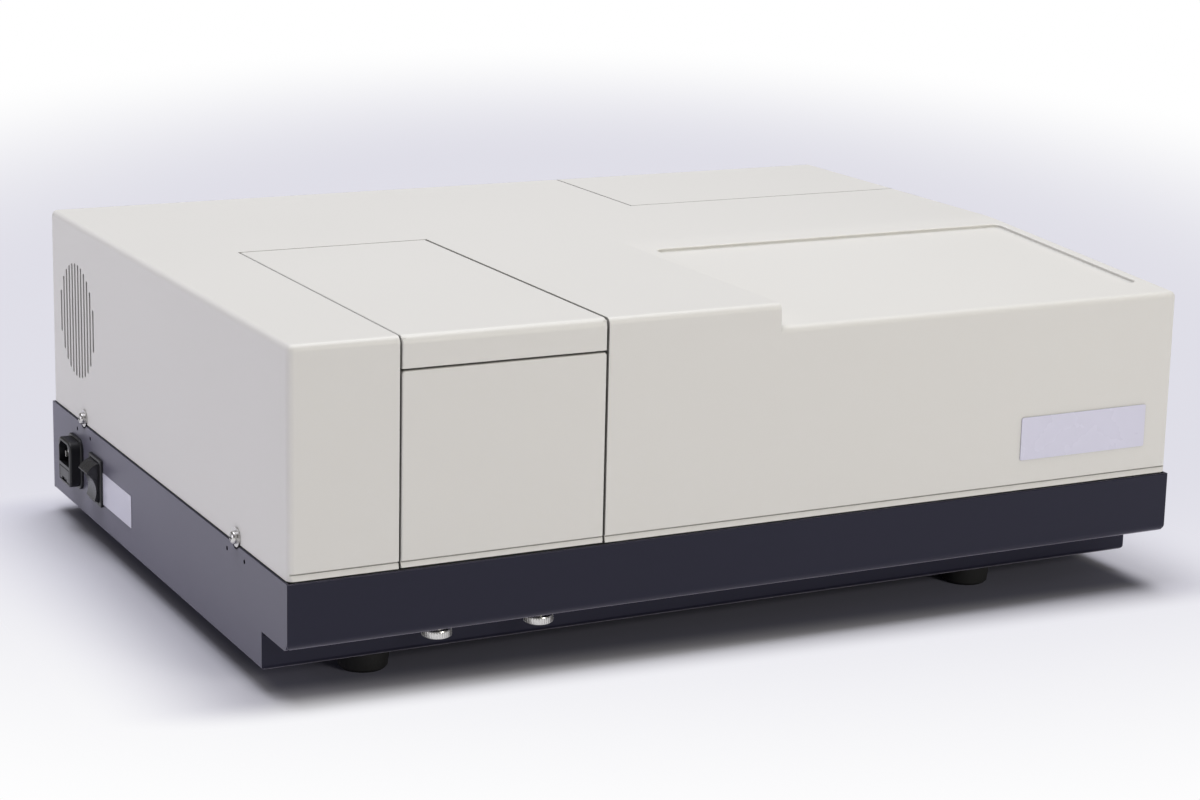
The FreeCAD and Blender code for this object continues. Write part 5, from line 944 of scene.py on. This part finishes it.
@dataclass
class Studio:
    """Sweep, lights and camera."""

    camera_place: Vector = field(default_factory=lambda: Vector((-0.8123, -1.5799, 0.5392)))
    camera_turn: tuple[float, float, float] = (77.387, -1.26, -27.062)
    lens: float = 82.69
    sensor: float = 36.0
    shift_y: float = -0.05
    clip_end: float = 50.0
    boxes: tuple[SoftBox, ...] = (
        SoftBox("overhead_box", (0.0, 0.35, 2.4), (0.0, 0.1, 0.1), 2.4, 57.0, (0.925, 0.934, 1.0)),
        SoftBox("left_box", (-2.6, 0.3, 0.5), (0.0, 0.0, 0.1), 1.0, 9.8, (0.90, 0.87, 1.0)),
        SoftBox("front_box", (0.75, -2.5, 0.9), (0.0, 0.0, 0.1), 0.7, 20.0, (1.0, 0.975, 0.885)),
    )
    surround: Colour = (1.0, 0.975, 0.94)
    surround_strength: float = 0.22
    sweep_size: float = 24.0
    sweep_parts: int = 8
    paper_rough: float = 0.9
    paper_gloss: float = 0.1
    paper: Colour = (0.780, 0.775, 0.840)
    # painted shade: colour of the paper's glow in the pool round the instrument
    painted_pool_shade: Colour = (0.740, 0.734, 0.805)
    # painted shadow: the paper's colour under the instrument
    painted_shadow_colour: Colour = (0.220, 0.220, 0.285)
    # rectangle and soft edge past which the paper glows, a painted light
    footprint: tuple[float, float] = (0.301, 0.208)
    fade: tuple[float, float] = (0.10, 0.045)
    # rectangle and soft edge of the painted shadow
    painted_shadow_halves: tuple[float, float] = (0.285, 0.188)
    painted_shadow_fade: tuple[float, float] = (0.025, 0.036)
    slant: float = 0.055
    # turn, middle, radii and soft edge of the painted shade pool
    pool_turn: float = -27.0
    pool_centre: float = 0.6
    pool_radii: tuple[float, float, float] = (1.0, 1.9, 0.95)
    pool_edge: tuple[float, float] = (0.55, 1.25)

    def build(self) -> None:
        """Sets up the sweep, the lights, the world and the camera."""
        self._sweep()
        self._lights()
        self._world()
        self._camera()
        bpy.context.scene.view_settings.view_transform = "Standard"

    def _camera(self) -> None:
        """Places the camera at the photograph's viewpoint."""
        data = bpy.data.cameras.new("camera")
        data.sensor_width = self.sensor
        data.lens = self.lens
        data.shift_y = self.shift_y
        data.clip_end = self.clip_end
        camera = bpy.data.objects.new("camera", data)
        bpy.context.scene.collection.objects.link(camera)
        camera.location = self.camera_place
        camera.rotation_euler = tuple(math.radians(angle) for angle in self.camera_turn)
        bpy.context.scene.camera = camera

    def _lights(self) -> None:
        """Adds the soft boxes, each turned to its target."""
        for box in self.boxes:
            data = bpy.data.lights.new(box.name, "AREA")
            data.shape = "SQUARE"
            data.size = box.size
            data.energy = box.power
            data.color = box.colour
            light = bpy.data.objects.new(box.name, data)
            bpy.context.scene.collection.objects.link(light)
            light.location = box.place
            aim = Vector(box.target) - Vector(box.place)
            light.rotation_euler = aim.to_track_quat("-Z", "Y").to_euler()

    def _world(self) -> None:
        """Gives an even pale surround, white where the camera sees it."""
        world = bpy.data.worlds.new("surround")
        bpy.context.scene.world = world
        world.use_nodes = True
        nodes, links = world.node_tree.nodes, world.node_tree.links
        nodes.clear()
        rays = nodes.new("ShaderNodeLightPath")
        seen = nodes.new("ShaderNodeBackground")
        seen.inputs["Color"].default_value = rgba(WHITE)
        seen.inputs["Strength"].default_value = 1.0
        lit = nodes.new("ShaderNodeBackground")
        lit.inputs["Color"].default_value = rgba(self.surround)
        lit.inputs["Strength"].default_value = self.surround_strength
        mix = nodes.new("ShaderNodeMixShader")
        out = nodes.new("ShaderNodeOutputWorld")
        links.new(rays.outputs["Is Camera Ray"], mix.inputs["Fac"])
        links.new(lit.outputs["Background"], mix.inputs[1])
        links.new(seen.outputs["Background"], mix.inputs[2])
        links.new(mix.outputs["Shader"], out.inputs["Surface"])

    def _sweep(self) -> None:
        """Adds the paper under and behind the instrument."""
        clear_selection()
        bpy.ops.mesh.primitive_grid_add(
            x_subdivisions=self.sweep_parts, y_subdivisions=self.sweep_parts,
            size=self.sweep_size, location=(0.0, 0.0, 0.0))
        paper = bpy.context.active_object
        paper.name = "paper_sweep"
        paper.data.materials.append(self._paper())

    def _paper(self) -> bpy.types.Material:
        """Makes the paper: near the instrument the lamps' shadow falls on it over a painted shadow in
        its colour; further out it glows, a painted light, darker in a painted shade pool round the
        instrument and white beyond.

        Returns:
            The material.
        """
        material, shader = blank_material("sweep_paper")
        tree = material.node_tree
        nodes, links = tree.nodes, tree.links
        shader.inputs["Roughness"].default_value = self.paper_rough
        shader.inputs["Specular IOR Level"].default_value = self.paper_gloss
        place = nodes.new("ShaderNodeTexCoord")
        # painted shadow: the paper's colour darkens under the instrument
        own = nodes.new("ShaderNodeMix")
        own.data_type = "RGBA"
        own.inputs["A"].default_value = rgba(self.painted_shadow_colour)
        own.inputs["B"].default_value = rgba(self.paper)
        links.new(self._away_from(tree, place, self.painted_shadow_halves, self.painted_shadow_fade), own.inputs["Factor"])
        links.new(own.outputs["Result"], shader.inputs["Base Color"])
        # painted light: past the footprint the paper glows for camera, glossy and transmission rays
        # instead of taking the lamps' light
        rays = nodes.new("ShaderNodeLightPath")
        seen = self._math(tree, "MAXIMUM", rays.outputs["Is Camera Ray"], rays.outputs["Is Glossy Ray"])
        seen = self._math(tree, "MAXIMUM", seen, rays.outputs["Is Transmission Ray"])
        share = self._math(tree, "MULTIPLY", seen,
                           self._away_from(tree, place, self.footprint, self.fade))
        # painted shade pool: the glow is darker round the instrument and white further out
        painted_glow_colour = nodes.new("ShaderNodeMix")
        painted_glow_colour.data_type = "RGBA"
        painted_glow_colour.inputs["A"].default_value = rgba(self.painted_pool_shade)
        painted_glow_colour.inputs["B"].default_value = rgba(WHITE)
        links.new(self._away_from_shade_pool(tree, place), painted_glow_colour.inputs["Factor"])
        painted_glow = nodes.new("ShaderNodeEmission")
        links.new(painted_glow_colour.outputs["Result"], painted_glow.inputs["Color"])
        blend = nodes.new("ShaderNodeMixShader")
        links.new(share, blend.inputs["Fac"])
        links.new(shader.outputs["BSDF"], blend.inputs[1])
        links.new(painted_glow.outputs["Emission"], blend.inputs[2])
        links.new(blend.outputs["Shader"], nodes["Material Output"].inputs["Surface"])
        return material

    def _away_from(self, tree: bpy.types.NodeTree, place: bpy.types.Node,
                   halves: tuple[float, float], reaches: tuple[float, float]) -> bpy.types.NodeSocket:
        """Measures how far a spot of the paper lies outside a rectangle under the instrument.

        Args:
            tree: The node tree.
            place: The texture coordinates.
            halves: Half the rectangle's sides.
            reaches: Widths of the soft edge along both axes.

        Returns:
            0 inside the rectangle, rising to 1 past its soft edge.
        """
        parts = tree.nodes.new("ShaderNodeSeparateXYZ")
        tree.links.new(place.outputs["Object"], parts.inputs["Vector"])
        lean = self._math(tree, "MULTIPLY", parts.outputs["X"], self.slant)
        spots = (parts.outputs["X"], self._math(tree, "ADD", parts.outputs["Y"], lean))
        squares = []
        for spot, half, reach in zip(spots, halves, reaches):
            outside = self._math(tree, "SUBTRACT", self._math(tree, "ABSOLUTE", spot, 0.0), half)
            outside = self._math(tree, "MAXIMUM", outside, 0.0)
            squares.append(self._math(tree, "POWER", self._math(tree, "DIVIDE", outside, reach), 2.0))
        total = self._math(tree, "SQRT", self._math(tree, "ADD", *squares), 0.0)
        return self._smooth(tree, total, 0.0, 1.0)

    def _away_from_shade_pool(self, tree: bpy.types.NodeTree,
                        place: bpy.types.Node) -> bpy.types.NodeSocket:
        """Measures how far a spot lies from the pool of painted shade round the instrument, where the
        paper's glow is darker.

        Args:
            tree: The node tree.
            place: The texture coordinates.

        Returns:
            0 in the pool, rising to 1 where the paper is white.
        """
        turn = tree.nodes.new("ShaderNodeMapping")
        turn.vector_type = "TEXTURE"
        turn.inputs["Rotation"].default_value = (0.0, 0.0, math.radians(self.pool_turn))
        tree.links.new(place.outputs["Object"], turn.inputs["Vector"])
        parts = tree.nodes.new("ShaderNodeSeparateXYZ")
        tree.links.new(turn.outputs["Vector"], parts.inputs["Vector"])
        side, back, front = self.pool_radii
        across = self._math(tree, "POWER", self._math(
            tree, "ABSOLUTE", self._math(tree, "DIVIDE", parts.outputs["X"], side), 0.0), 2.0)
        depth = self._math(tree, "SUBTRACT", parts.outputs["Y"], self.pool_centre)
        behind = self._math(tree, "DIVIDE", self._math(tree, "MAXIMUM", depth, 0.0), back)
        ahead = self._math(tree, "DIVIDE", self._math(tree, "MINIMUM", depth, 0.0), front)
        along = self._math(tree, "POWER", self._math(tree, "SUBTRACT", behind, ahead), 2.0)
        total = self._math(tree, "SQRT", self._math(tree, "ADD", across, along), 0.0)
        return self._smooth(tree, total, *self.pool_edge)

    @staticmethod
    def _smooth(tree: bpy.types.NodeTree, value: bpy.types.NodeSocket, low: float,
                high: float) -> bpy.types.NodeSocket:
        """Adds a soft step from 0 at the low value to 1 at the high one."""
        step = tree.nodes.new("ShaderNodeMapRange")
        step.interpolation_type = "SMOOTHSTEP"
        step.inputs["From Min"].default_value = low
        step.inputs["From Max"].default_value = high
        tree.links.new(value, step.inputs["Value"])
        return step.outputs["Result"]

    @staticmethod
    def _math(tree: bpy.types.NodeTree, operation: str, first: object,
              second: object) -> bpy.types.NodeSocket:
        """Adds one arithmetic node.

        Args:
            tree: The node tree.
            operation: Name of the operation.
            first: A socket or a number.
            second: A socket or a number.

        Returns:
            The node's output.
        """
        node = tree.nodes.new("ShaderNodeMath")
        node.operation = operation
        for socket, value in zip(node.inputs, (first, second)):
            if isinstance(value, (int, float)):
                socket.default_value = value
            else:
                tree.links.new(value, socket)
        return node.outputs[0]


def write_sizes() -> None:
    """Logs one line; no sizes are written."""
    LOG.info("sizes written")


def main() -> None:
    """Builds the studio, dresses the solids and adds the new pieces."""
    Studio().build()
    palette = Palette()
    dress_nodes(palette)
    BarePlate("name_plate", Side.FRONT, low=Vector((184.5, -225.7, 96.7)) * MM,
              high=Vector((280.0, -224.95, 124.0)) * MM, corner=1.2 * MM, rim=0.7 * MM,
              finish="plate_film", slot="cover_paint").build(palette)
    BarePlate("side_label", Side.LEFT, low=Vector((-301.3, 51.5, 32.7)) * MM,
              high=Vector((-300.95, 113.0, 54.0)) * MM, corner=0.6 * MM, rim=0.3 * MM,
              finish="label_film", slot="cover_paint").build(palette)
    ThumbScrew(Body.LEFT_THUMB, "left_thumb_screw").build(palette)
    ThumbScrew(Body.RIGHT_THUMB, "right_thumb_screw").build(palette)
    CoverScrews().build(palette)
    write_sizes()


if __name__ == "__main__":
    main()
